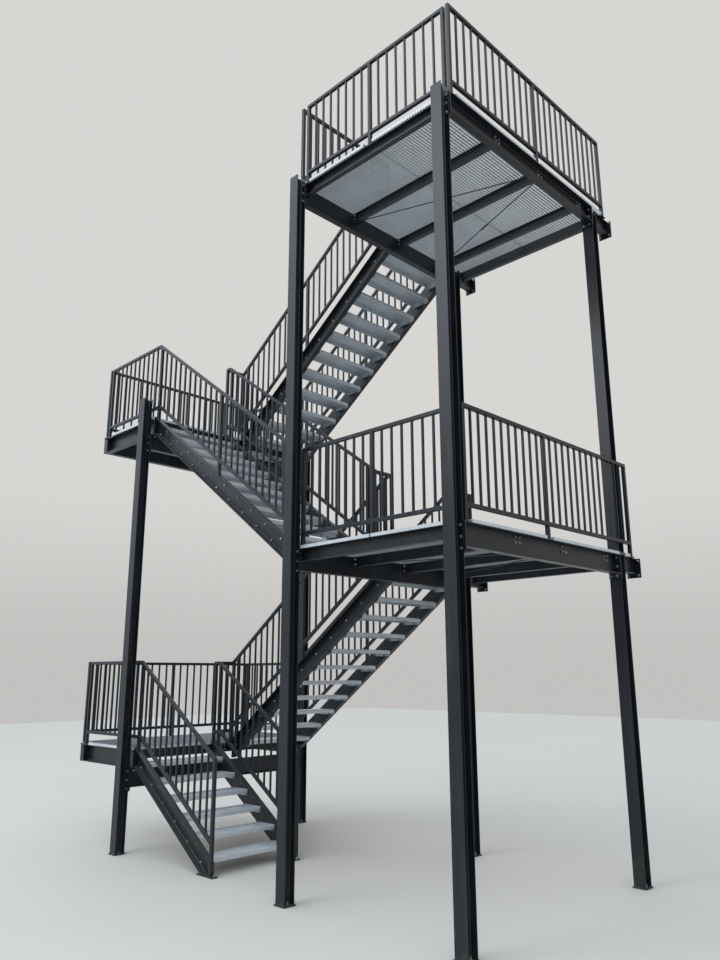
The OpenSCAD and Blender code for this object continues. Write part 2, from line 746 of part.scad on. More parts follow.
// short level piece that joins the inner railings of two flights at a platform
module turn_rail(x, lvl) {
  half = post_s / 2;
  color(steel) level_panel_y(rail_f1 + half, rail_b0 - half, x, lvl, [], [rail_f1, rail_b0]);
}

module flight_1_outer_rail() front_outer_rail(lvl_l1, -run, rise_1, t_foot, foot_t);
module flight_1_inner_rail() {
  inner_rail(land_r, -1, rail_f1, lvl_l1, -run, rise_1, t_foot, foot_t);
  turn_rail(rail_land_r, lvl_l1);
}
module flight_2_outer_rail() back_outer_rail(lvl_p1, lvl_l1, rise_2);
module flight_2_inner_rail() {
  inner_rail(door_l, 1, rail_b0, lvl_p1, lvl_l1, rise_2, -run - t_edge, lvl_l1 - grate_t);
  turn_rail(rail_door_l, lvl_p1);
}
module flight_3_outer_rail()
  front_outer_rail(lvl_l2, lvl_p1, rise_3, -run - t_edge, lvl_p1 - grate_t);
module flight_3_inner_rail() {
  inner_rail(land_r, -1, rail_f1, lvl_l2, lvl_p1, rise_3, -run - t_edge, lvl_p1 - grate_t);
  turn_rail(rail_land_r, lvl_l2);
}
module flight_4_outer_rail() back_outer_rail(lvl_p2, lvl_l2, rise_4);
module flight_4_inner_rail()
  inner_rail(door_l, 1, rail_b0, lvl_p2, lvl_l2, rise_4, -run - t_edge, lvl_l2 - grate_t);

column_landing_front();
column_mid_front();
column_door_front();
column_door_back();
column_mid_back();
column_landing_back();
door_low_main_beams();
door_low_cross_beams();
door_low_grating();
door_low_front_rail();
door_low_side_rail();
door_high_main_beams();
door_high_cross_beams();
door_high_grating();
door_high_front_rail();
door_high_side_rail();
door_high_left_rail();
door_high_bracing();
landing_low_main_beams();
landing_low_cross_beams();
landing_low_grating();
landing_low_front_rail();
landing_low_end_rail();
landing_low_back_rail();
landing_high_main_beams();
landing_high_cross_beams();
landing_high_grating();
landing_high_front_rail();
landing_high_end_rail();
landing_high_back_rail();
wall_brackets();
flight_1_stringers();
flight_1_treads();
flight_1_outer_rail();
flight_1_inner_rail();
flight_2_stringers();
flight_2_treads();
flight_2_outer_rail();
flight_2_inner_rail();
flight_3_stringers();
flight_3_treads();
flight_3_outer_rail();
flight_3_inner_rail();
flight_4_stringers();
flight_4_treads();
flight_4_outer_rail();
flight_4_inner_rail();
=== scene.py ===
"""Steel escape stair in straight flights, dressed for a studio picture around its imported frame."""
import logging
import math
from dataclasses import dataclass, field
from enum import Enum
from typing import Any, Iterable

import bmesh
import bpy
from mathutils import Matrix, Vector


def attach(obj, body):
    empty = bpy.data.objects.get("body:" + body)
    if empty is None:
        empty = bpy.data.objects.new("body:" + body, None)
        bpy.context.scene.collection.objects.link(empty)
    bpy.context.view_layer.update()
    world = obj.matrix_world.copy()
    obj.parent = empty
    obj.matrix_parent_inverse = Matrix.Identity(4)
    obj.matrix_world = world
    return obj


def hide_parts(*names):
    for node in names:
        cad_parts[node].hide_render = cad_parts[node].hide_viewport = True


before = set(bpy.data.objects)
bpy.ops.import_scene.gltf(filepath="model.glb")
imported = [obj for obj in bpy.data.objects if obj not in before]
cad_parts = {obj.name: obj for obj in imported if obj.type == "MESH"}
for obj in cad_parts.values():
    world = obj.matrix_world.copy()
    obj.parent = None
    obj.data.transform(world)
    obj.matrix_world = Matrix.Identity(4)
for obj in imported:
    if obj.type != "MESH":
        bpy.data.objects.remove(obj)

log = logging.getLogger("stair")
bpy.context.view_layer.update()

Point = tuple[float, float, float]
Colour = tuple[float, float, float]
Span = tuple[float, float]
Outline = list[tuple[float, float]]
Bar = tuple[Point, Point]
Socket = bpy.types.NodeSocket
BODY = "root"
TURN = 2 * math.pi
UP: Point = (0.0, 0.0, 1.0)
FORWARD: Point = (0.0, -1.0, 0.0)
BACKWARD: Point = (0.0, 1.0, 0.0)


# Node trees and shader maths

class NodeTree:
    """A node tree under construction."""

    def __init__(self, tree: bpy.types.NodeTree) -> None:
        """Keep the tree."""
        self.tree = tree

    @staticmethod
    def in_use(sockets: Iterable[Socket], name: str | None = None) -> Socket:
        """The first socket that is in use, of the given name if there is one."""
        return next(s for s in sockets if s.enabled and name in (None, s.name))

    def node(self, kind: str, inputs: dict[str | int, Any] | None = None,
             **settings: Any) -> bpy.types.Node:
        """Make any node: its settings first, then the values or links of its sockets.

        Args:
            kind: Blender's type name of the node.
            inputs: Values, sockets, expressions or lists of sockets, by socket name or number.
            settings: Properties of the node by name.

        Returns:
            The new node.
        """
        made = self.tree.nodes.new(kind)
        for key, setting in settings.items():
            setattr(made, key, setting)
        for key, given in (inputs or {}).items():
            socket = made.inputs[key] if isinstance(key, int) else self.in_use(made.inputs, key)
            for source in given if isinstance(given, list) else [given]:
                if isinstance(source, Value):
                    source = source.socket
                if isinstance(source, Socket):
                    self.tree.links.new(source, socket)
                else:
                    socket.default_value = source
        return made


class Value:
    """A shader socket that takes part in Python expressions."""

    def __init__(self, graph: "Graph", socket: Socket) -> None:
        """Keep the socket and the graph in which further nodes are made."""
        self.graph = graph
        self.socket = socket

    def maths(self, operation: str, *others: "Value | float", first: bool = True) -> "Value":
        """Add one Math node.

        Args:
            operation: Name of the Math operation.
            others: Further operands.
            first: Whether this value is the first operand.

        Returns:
            The result of the operation.
        """
        terms = [self, *others] if first else [*others, self]
        node = self.graph.node("ShaderNodeMath", dict(enumerate(terms)), operation=operation)
        return Value(self.graph, node.outputs[0])

    def __add__(self, other: "Value | float") -> "Value":
        """Sum."""
        return self.maths("ADD", other)

    def __sub__(self, other: "Value | float") -> "Value":
        """Difference."""
        return self.maths("SUBTRACT", other)

    def __rsub__(self, other: float) -> "Value":
        """Difference from a number."""
        return self.maths("SUBTRACT", other, first=False)

    def __mul__(self, other: "Value | float") -> "Value":
        """Product."""
        return self.maths("MULTIPLY", other)

    def __truediv__(self, other: "Value | float") -> "Value":
        """Quotient."""
        return self.maths("DIVIDE", other)

    def __abs__(self) -> "Value":
        """Size without its sign."""
        return self.maths("ABSOLUTE")

    __radd__ = __add__
    __rmul__ = __mul__

    def toward(self, other: "Value | float", mask: "Value") -> "Value":
        """Change into another value where the mask rises to 1."""
        return self + (other - self) * mask

    def clamp(self) -> "Value":
        """Hold the value between 0 and 1."""
        return self.maths("MINIMUM", 1.0).maths("MAXIMUM", 0.0)

    def ramp(self, low: float, high: float) -> "Value":
        """Rise smoothly from 0 to 1.

        Args:
            low: Where the rise starts.
            high: Where it ends.

        Returns:
            The rise.
        """
        span = {"Value": self, "From Min": low, "From Max": high}
        node = self.graph.node("ShaderNodeMapRange", span, interpolation_type="SMOOTHSTEP")
        return Value(self.graph, node.outputs[0])


@dataclass(frozen=True)
class Patches:
    """Cloudy patches: clouds per metre, finer layers, the noise values between which they grow
    from nothing to full, and their share."""
    scale: float
    detail: float
    span: Span
    share: float = 1.0


class Graph(NodeTree):
    """The node graph of one material or of the sky."""

    def __init__(self, owner: bpy.types.Material | bpy.types.World, origin: str = "Object") -> None:
        """Empty the owner's graph.

        Args:
            owner: Material or sky that the graph belongs to.
            origin: Which coordinates its patterns lie in.
        """
        owner.use_nodes = True
        super().__init__(owner.node_tree)
        self.owner = owner
        self.tree.nodes.clear()
        self.place = self.node("ShaderNodeTexCoord").outputs[origin]

    def stretched(self, scale: Point) -> Socket:
        """The coordinates, scaled along each axis."""
        return self.node("ShaderNodeMapping", {"Vector": self.place, "Scale": scale}).outputs["Vector"]

    def noise(self, scale: float, detail: float = 3.0, at: Socket | None = None) -> Value:
        """Cloudy noise around 0.5.

        Args:
            scale: Clouds per metre.
            detail: Number of finer layers.
            at: Coordinates, or the graph's own.

        Returns:
            The noise.
        """
        node = self.node("ShaderNodeTexNoise",
                         {"Vector": at or self.place, "Scale": scale, "Detail": detail})
        return Value(self, node.outputs[0])

    def patches(self, kind: Patches) -> Value:
        """Mask of cloudy patches."""
        mask = self.noise(kind.scale, kind.detail).ramp(*kind.span)
        return mask if kind.share == 1.0 else mask * kind.share

    def cells(self, scale: float) -> Value:
        """A random number for each crystal-like cell.

        Args:
            scale: Cells per metre.

        Returns:
            The numbers, from 0 to 1.
        """
        node = self.node("ShaderNodeTexVoronoi", {"Vector": self.place, "Scale": scale})
        split = self.node("ShaderNodeSeparateColor", {"Color": node.outputs["Color"]})
        return Value(self, split.outputs[0])

    def part(self, axis: str, source: Socket | None = None) -> Value:
        """One component of a vector socket, or of the coordinates."""
        node = self.node("ShaderNodeSeparateXYZ", {"Vector": source or self.place})
        return Value(self, node.outputs[axis])

    def facing(self, axis: str) -> Value:
        """Component of the surface normal along an axis."""
        return self.part(axis, self.node("ShaderNodeNewGeometry").outputs["True Normal"])

    def blend(self, mask: Value | float, low: Any, high: Any) -> Socket:
        """Mix two colours.

        Args:
            mask: 0 gives the first colour and 1 the second.
            low: First colour or colour socket.
            high: Second colour or colour socket.

        Returns:
            The mixed colour.
        """
        first, second = [(*c, 1.0) if isinstance(c, tuple) else c for c in (low, high)]
        mix = self.node("ShaderNodeMix", {"Factor": mask, "A": first, "B": second}, data_type="RGBA")
        return self.in_use(mix.outputs)

    def bump(self, height: Value, distance: float, strength: float) -> Socket:
        """A bumped normal.

        Args:
            height: Height of the surface, from 0 to 1.
            distance: Size of a whole step in metres.
            strength: How strongly the bump shows.

        Returns:
            The normal.
        """
        node = self.node("ShaderNodeBump",
                         {"Height": height, "Distance": distance, "Strength": strength})
        return node.outputs["Normal"]

    def surface(self, **sockets: Any) -> bpy.types.Material:
        """Close the material with one Principled shader.

        Args:
            sockets: Values or links, the sockets' names with _ for each blank.

        Returns:
            The finished material.
        """
        named = {key.replace("_", " "): given for key, given in sockets.items()}
        shader = self.node("ShaderNodeBsdfPrincipled", named)
        self.node("ShaderNodeOutputMaterial", {"Surface": shader.outputs[0]})
        return self.owner


# Finishes

@dataclass(frozen=True)
class PowderCoat:
    """Satin anthracite powder coat with dust, rain streaks and small chips."""
    name: str = "anthracite powder coat"
    tone: Colour = (0.0065, 0.0085, 0.0115)
    pale: Colour = (0.0115, 0.0145, 0.0185)
    dust: Colour = (0.052, 0.053, 0.051)
    splash: Colour = (0.038, 0.035, 0.030)
    chip: Colour = (0.12, 0.125, 0.125)
    rough: Span = (0.33, 0.52)
    clouds: float = 1.7
    cloud_share: float = 0.6
    streaks: Point = (19.0, 19.0, 0.9)
    streak_share: float = 0.4
    layers: float = 4.0
    mottle: Span = (0.34, 0.68)
    level: Span = (0.45, 0.95)
    film: float = 7.0
    film_least: float = 0.35
    film_change: float = 0.7
    film_share: float = 0.75
    runs: Span = (0.56, 0.78)
    run_share: float = 0.28
    splash_height: float = 0.55
    splash_share: float = 0.7
    splash_rough: float = 0.2
    splashes: Patches = Patches(11.0, 5.0, (0.36, 0.72))
    chips: Patches = Patches(95.0, 1.0, (0.735, 0.76))
    chipped: Patches = Patches(3.1, 2.0, (0.5, 0.66))
    chip_depth: float = 0.6
    fine: float = 38.0
    peel: float = 420.0
    peel_layers: float = 2.0
    relief: float = 0.00025
    bump: float = 0.35
    index: float = 1.42

    def build(self) -> bpy.types.Material:
        """Build the coat's nodes.

        Returns:
            The material.
        """
        g = Graph(bpy.data.materials.new(self.name))
        streak = g.noise(1.0, self.layers, g.stretched(self.streaks))
        cloud = g.noise(self.clouds, self.layers)
        tint = (cloud * self.cloud_share + streak * self.streak_share).ramp(*self.mottle)
        colour = g.blend(tint, self.tone, self.pale)
        film = self.film_least + g.noise(self.film, self.layers) * self.film_change
        film = g.facing("Z").ramp(*self.level) * film
        runs = streak.ramp(*self.runs) * self.run_share
        dusty = (film * self.film_share + runs * (1.0 - abs(g.facing("Z")))).clamp()
        colour = g.blend(dusty, colour, self.dust)
        low = (1.0 - g.part("Z").ramp(0.0, self.splash_height)) * g.patches(self.splashes)
        colour = g.blend(low * self.splash_share, colour, self.splash)
        chips = g.patches(self.chips) * g.patches(self.chipped)
        colour = g.blend(chips, colour, self.chip)
        least, most = self.rough
        spread = most - least
        rough = least + tint * (spread * 0.5) + dusty * spread + low * self.splash_rough
        peel = (g.noise(self.peel, self.peel_layers) * 0.5
                + g.noise(self.fine, self.peel_layers) * 0.5 - chips * self.chip_depth)
        return g.surface(Base_Color=colour, Roughness=rough.clamp(), IOR=self.index,
                         Normal=g.bump(peel, self.relief, self.bump))


@dataclass(frozen=True)
class HotDip:
    """Hot dip galvanised sheet or bar: faint crystals, pale patches, grey runs, and painted shade on
    its undersides.
    """
    name: str = "hot dip galvanised"
    dark: Colour = (0.44, 0.48, 0.51)
    light: Colour = (0.61, 0.65, 0.685)
    white: Colour = (0.74, 0.76, 0.77)
    stain: Colour = (0.27, 0.26, 0.24)
    # The next two values give painted shade: its colour, and how strongly it darkens faces that look
    # down.
    under: Colour = (0.20, 0.225, 0.245)
    underside_shade: float = 0.35
    crystals: float = 62.0
    clouds: float = 4.5
    runs: Point = (26.0, 26.0, 2.2)
    layers: float = 4.0
    crystal_tint: float = 0.10
    cloud_tint: float = 0.60
    run_tint: float = 0.30
    mottle: Span = (0.22, 0.78)
    # Facing spans: downward and sideways set where painted shade grows, upward where stains grow;
    # sideways also places the strip marks.
    downward: Span = (0.5, 0.95)
    upward: Span = (0.2, 0.9)
    sideways: Span = (0.6, 0.9)
    bloom: Patches = Patches(13.0, 5.0, (0.58, 0.80), 0.3)
    stains: Patches = Patches(8.0, 5.0, (0.63, 0.80), 0.35)
    metal: float = 0.45
    bloom_metal: float = 0.4
    stain_metal: float = 0.5
    rough: float = 0.36
    crystal_rough: float = 0.07
    bloom_rough: float = 0.2
    stain_rough: float = 0.15
    shade_rough: float = 0.2
    grain: float = 260.0
    grain_layers: float = 2.0
    crystal_height: float = 0.35
    grain_height: float = 0.35
    run_height: float = 0.3
    relief: float = 0.0003
    bump: float = 0.35
    # Strength of the painted shade on the inner sides of grating bars, then the rims and span that keep
    # it off the outer strips.
    inner: float = 0.0
    rims: tuple[float, ...] = ()
    rim_span: Span = (0.004, 0.010)
    mark_pitch: float = 0.0
    mark_width: float = 0.16
    mark_share: float = 0.6
    mark_stain: float = 0.4

    def build(self) -> bpy.types.Material:
        """Build the zinc's nodes.

        Returns:
            The material.
        """
        g = Graph(bpy.data.materials.new(self.name))
        crystal = g.cells(self.crystals)
        runs = g.noise(1.0, self.layers, g.stretched(self.runs))
        tint = (crystal * self.crystal_tint + g.noise(self.clouds, self.layers) * self.cloud_tint
                + runs * self.run_tint)
        colour = g.blend(tint.ramp(*self.mottle), self.dark, self.light)
        bloom = g.patches(self.bloom)
        colour = g.blend(bloom, colour, self.white)
        # Painted shade: faces that look down are darkened towards the under colour.
        shade = (0.0 - g.facing("Z")).ramp(*self.downward) * self.underside_shade
        colour = g.blend(shade, colour, self.under)
        # Painted shade between the bars of a grating.
        if self.inner:
            colour = g.blend(self.inside(g), colour, self.under)
        stained = g.patches(self.stains)
        if self.mark_pitch:
            marks = self.marks(g)
            colour = g.blend(marks, colour, self.stain)
            stained = (stained + marks * self.mark_stain).clamp()
        colour = g.blend(stained * g.facing("Z").ramp(*self.upward), colour, self.stain)
        rough = (self.rough + crystal * self.crystal_rough + bloom * self.bloom_rough
                 + stained * self.stain_rough + shade * self.shade_rough)
        height = (crystal * self.crystal_height + runs * self.run_height
                  + g.noise(self.grain, self.grain_layers) * self.grain_height)
        metal = self.metal - bloom * self.bloom_metal - stained * self.stain_metal
        return g.surface(Base_Color=colour, Roughness=rough.clamp(), Metallic=metal.clamp(),
                         Normal=g.bump(height, self.relief, self.bump))

    def inside(self, g: Graph) -> Value:
        """Painted shade on the sides of the bars inside a grating, away from its rims.

        Args:
            g: Graph of the material.

        Returns:
            How strongly the painted shade shows.
        """
        mask = abs(g.facing("X")).ramp(*self.sideways) * self.inner
        for rim in self.rims:
            mask = mask * abs(g.part("X") - rim).ramp(*self.rim_span)
        return mask

    def marks(self, g: Graph) -> Value:
        """Dark pressing marks on the outer strips, one at the end of each bearing bar.

        Args:
            g: Graph of the material.

        Returns:
            The mask of the marks.
        """
        beat = (g.part("X") / self.mark_pitch).maths("FRACT") - 0.5
        line = 1.0 - abs(beat).ramp(self.mark_width * 0.5, self.mark_width)
        return line * abs(g.facing("Y")).ramp(*self.sideways) * self.mark_share


@dataclass(frozen=True)
class BoltZinc:
    """Bright zinc of bolts, nuts and washers, greyed by the weather."""
    name: str = "fastener zinc"
    dark: Colour = (0.20, 0.21, 0.22)
    light: Colour = (0.42, 0.43, 0.44)
    rust: Colour = (0.20, 0.11, 0.06)
    clouds: float = 23.0
    mottle: Span = (0.3, 0.7)
    bloom: Patches = Patches(70.0, 4.0, (0.62, 0.78), 0.35)
    metal: float = 0.85
    rough: float = 0.30
    cloud_rough: float = 0.25
    bloom_rough: float = 0.5
    grain: float = 600.0
    grain_layers: float = 2.0
    relief: float = 0.0003
    bump: float = 0.4

    def build(self) -> bpy.types.Material:
        """Build the fasteners' nodes.

        Returns:
            The material.
        """
        g = Graph(bpy.data.materials.new(self.name))
        cloud = g.noise(self.clouds)
        bloom = g.patches(self.bloom)
        colour = g.blend(cloud.ramp(*self.mottle), self.dark, self.light)
        colour = g.blend(bloom, colour, self.rust)
        rough = self.rough + cloud * self.cloud_rough + bloom * self.bloom_rough
        grain = g.noise(self.grain, self.grain_layers)
        return g.surface(Base_Color=colour, Roughness=rough.clamp(),
                         Metallic=(self.metal - bloom).clamp(),
                         Normal=g.bump(grain, self.relief, self.bump))


@dataclass(frozen=True)
class PaintedWeld:
    """Weld beads under the anthracite coat, scaled like a row of coins."""
    name: str = "painted weld"
    tone: Colour = (0.009, 0.011, 0.014)
    pale: Colour = (0.020, 0.023, 0.027)
    lumps: float = 330.0
    mottle: Span = (0.35, 0.75)
    rough: float = 0.34
    lump_rough: float = 0.3
    relief: float = 0.0016
    bump: float = 0.8

    def build(self) -> bpy.types.Material:
        """Build the welds' nodes.

        Returns:
            The material.
        """
        g = Graph(bpy.data.materials.new(self.name))
        lumps = g.noise(self.lumps)
        return g.surface(Base_Color=g.blend(lumps.ramp(*self.mottle), self.tone, self.pale),
                         Roughness=(self.rough + lumps * self.lump_rough).clamp(),
                         Normal=g.bump(lumps, self.relief, self.bump))


@dataclass(frozen=True)
class StudioFloor:
    """Plain pale floor with the faintest cloud in it."""
    name: str = "pale floor"
    tone: Colour = (0.44, 0.415, 0.385)
    pale: Colour = (0.48, 0.453, 0.42)
    clouds: float = 0.5
    rough: float = 0.7
    cloud_rough: float = 0.15
    grain: float = 40.0
    relief: float = 0.002
    bump: float = 0.2

    def build(self) -> bpy.types.Material:
        """Build the floor's nodes.

        Returns:
            The material.
        """
        g = Graph(bpy.data.materials.new(self.name))
        cloud = g.noise(self.clouds)
        return g.surface(Base_Color=g.blend(cloud, self.tone, self.pale),
                         Roughness=(self.rough + cloud * self.cloud_rough).clamp(),
                         Normal=g.bump(g.noise(self.grain), self.relief, self.bump))


# Sizes of the stair

@dataclass(frozen=True)
class Shoe:
    """Foot plate of a railing post: its middle and which way it lies."""
    x: float
    y: float
    along_x: bool = False


@dataclass(frozen=True)
class Layout:
    """Main sizes and lines of the stair in metres, the same as the frame's."""
    # Columns
    bay_door: float = 1.950
    bay_flight: float = 2.885
    row: float = 2.690
    col_b: float = 0.120
    col_h: float = 0.114
    col_flange: float = 0.008
    foot_t: float = 0.012
    # Platforms
    grate_t: float = 0.030
    grate_in: float = 0.006
    bar_pitch: float = 0.0333
    main_h: float = 0.200
    main_b: float = 0.075
    main_web: float = 0.0085
    main_flange: float = 0.0115
    header_h: float = 0.100
    header_b: float = 0.055
    header_web: float = 0.0041
    joist_h: float = 0.100
    joist_b: float = 0.055
    joists: Point = (0.875, 1.637, 2.430)
    edge_b: float = 0.055
    plate_t: float = 0.012
    front_gap: float = 0.030
    door_over: float = 0.193
    landing_len: float = 1.120
    # Flights
    going: float = 0.250
    string_b: float = 0.070
    string_web: float = 0.008
    tread_len: float = 1.000
    tread_t: float = 0.003
    # Railing posts and their foot plates
    rail_in: float = 0.020
    rail_side_in: float = 0.033
    post_s: float = 0.035
    post_gap: float = 0.001
    side_posts: Span = (1.330, 1.540)
    shoe_l: float = 0.096
    shoe_b: float = 0.045
    shoe_t: float = 0.008
    shoe_shift: float = 0.012
    # Floors
    low_landing: float = 1.127
    low_door: float = 3.135
    high_landing: float = 5.105
    high_door: float = 7.098

    @property
    def x_b(self) -> float:
        """Middle of the columns between door platforms and flights."""
        return -self.bay_door

    @property
    def x_a(self) -> float:
        """Middle of the columns at the half landings."""
        return -self.bay_door - self.bay_flight

    @property
    def front_tip(self) -> float:
        """Front face of the platform frames."""
        return self.col_h / 2 + self.front_gap

    @property
    def back_tip(self) -> float:
        """Back face of the platform frames."""
        return self.row - self.front_tip

    @property
    def door_l(self) -> float:
        """Left face of the door platforms."""
        return self.x_b - self.main_b

    @property
    def door_r(self) -> float:
        """Right face of the door platforms."""
        return self.main_b

    @property
    def door_back(self) -> float:
        """Back edge of the door platforms' gratings."""
        return self.row + self.col_h / 2 + self.door_over

    @property
    def land_r(self) -> float:
        """Right face of the half landings."""
        return self.x_a + self.main_b

    @property
    def header_x(self) -> float:
        """Middle of the web of the headers that carry the flights at the half landings."""
        return self.land_r - self.header_b / 2

    @property
    def land_web_l(self) -> float:
        """Web of the outer landing beam."""
        return self.x_a - self.landing_len

    @property
    def land_l(self) -> float:
        """Left face of the half landings."""
        return self.land_web_l - self.main_b

    @property
    def run(self) -> float:
        """Length of a flight between two platforms."""
        return self.door_l - self.land_r

    @property
    def doors(self) -> Span:
        """Heights of the door platforms."""
        return self.low_door, self.high_door

    @property
    def landings(self) -> Span:
        """Heights of the half landings."""
        return self.low_landing, self.high_landing

    @property
    def lane_front(self) -> Span:
        """Web backs of the stringers of the front flights."""
        return self.front_tip + self.string_b, self.front_tip + self.string_b + self.tread_len

    @property
    def lane_back(self) -> Span:
        """Web backs of the stringers of the back flights."""
        return self.back_tip - self.string_b - self.tread_len, self.back_tip - self.string_b

    @property
    def rail_lines(self) -> tuple[float, float, float, float]:
        """Middles of the four railing lines along the flights.

        Returns:
            Their places along Y, front to back.
        """
        inner = self.string_b - self.rail_in
        return (self.front_tip + self.rail_in, self.lane_front[1] + inner,
                self.lane_back[0] - inner, self.back_tip - self.rail_in)

    @property
    def rims(self) -> tuple[float, ...]:
        """Side edges of the gratings."""
        return (self.door_r - self.grate_in, self.door_l + self.grate_in,
                self.land_r - self.grate_in, self.land_l + self.grate_in)

    def door_shoes(self, side_post: float) -> list[Shoe]:
        """Foot plates of the posts on a door platform.

        Args:
            side_post: Middle post of the side railing.

        Returns:
            The plates of the front, the right and the left railing.
        """
        lines = self.rail_lines
        back = self.door_back - self.rail_in
        left_post = self.x_b + self.col_b / 2 - self.post_s / 3
        right_post = -self.post_s / 2 - self.post_gap - self.shoe_shift
        front = [Shoe(x, lines[0], True) for x in (left_post, self.x_b / 2, right_post)]
        right = [Shoe(self.door_r - self.rail_side_in, y) for y in (lines[0], side_post, back)]
        left = [Shoe(self.door_l + self.rail_side_in, y) for y in (*lines, back)]
        return front + right + left

    def landing_shoes(self) -> list[Shoe]:
        """Foot plates of the posts on a half landing.

        Returns:
            The plates of the right and the left side, then those at the two open corners.
        """
        lines = self.rail_lines
        right = [Shoe(self.land_r - self.rail_side_in, y) for y in lines[1:]]
        left = [Shoe(self.land_l + self.rail_side_in, y) for y in (lines[0], self.row / 2, lines[3])]
        corner = self.land_web_l + self.rail_in + self.shoe_shift
        return right + left + [Shoe(corner, y, True) for y in (lines[0], lines[3])]


class Lane(Enum):
    """The two lines of flights, side by side."""
    FRONT = "front"
    BACK = "back"


@dataclass(frozen=True)
class Flight:
    """One straight flight, as distances past its top nosing."""
    number: int
    lane: Lane
    top: float
    bottom: float
    x_top: float
    way: int
    steps: int

    @property
    def rise(self) -> float:
        """Height of one step."""
        return (self.top - self.bottom) / self.steps

    @property
    def webs(self) -> Span:
        """Web backs of its stringers."""
        return SIZES.lane_front if self.lane is Lane.FRONT else SIZES.lane_back

    @property
    def nosings(self) -> Outline:
        """Nosings of the treads. A flight that leaves a platform has one more tread, level with it.

        Returns:
            Each nosing as x and height, from the top tread down.
        """
        s = SIZES
        found = [(self.x_top - self.way * s.going * k, self.top - self.rise * k)
                 for k in range(1, self.steps)]
        if self.bottom > 0.0:
            past = self.steps * s.going - s.run + 2 * s.tread_t
            found.append((self.x_top - self.way * (s.going * self.steps - past), self.bottom))
        return found


SIZES = Layout()
FLIGHTS = (
    Flight(1, Lane.FRONT, SIZES.low_landing, 0.0, SIZES.land_r, -1, 7),
    Flight(2, Lane.BACK, SIZES.low_door, SIZES.low_landing, SIZES.door_l, 1, 11),
    Flight(3, Lane.FRONT, SIZES.high_landing, SIZES.low_door, SIZES.land_r, -1, 11),
    Flight(4, Lane.BACK, SIZES.high_door, SIZES.high_landing, SIZES.door_l, 1, 11),
)


class Finish(Enum):
    """The finishes of the stair, each with its maker."""
    COAT = PowderCoat()
    SHEET_ZINC = HotDip()
    # Painted shade darkens the undersides and the inner sides of the bars, away from the rims.
    GRATING_ZINC = HotDip(name="galvanised grating", dark=(0.43, 0.47, 0.50),
                          light=(0.58, 0.62, 0.65), crystals=85.0, metal=0.12, underside_shade=0.10, inner=0.60,
                          rims=SIZES.rims, relief=0.00015, mark_pitch=SIZES.bar_pitch)
    BOLT_ZINC = BoltZinc()
    WELD = PaintedWeld()
    FLOOR = StudioFloor()

    def material(self) -> bpy.types.Material:
        """The finish's material, built at its first use."""
        return bpy.data.materials.get(self.value.name) or self.value.build()


class Slot(Enum):
    """Names of material slots; each piece is handed over with one, but nothing reads it."""
    BEAMS = "beam_paint"
    GRATINGS = "grating_zinc"
    TREADS = "tread_zinc"


# Making and placing pieces

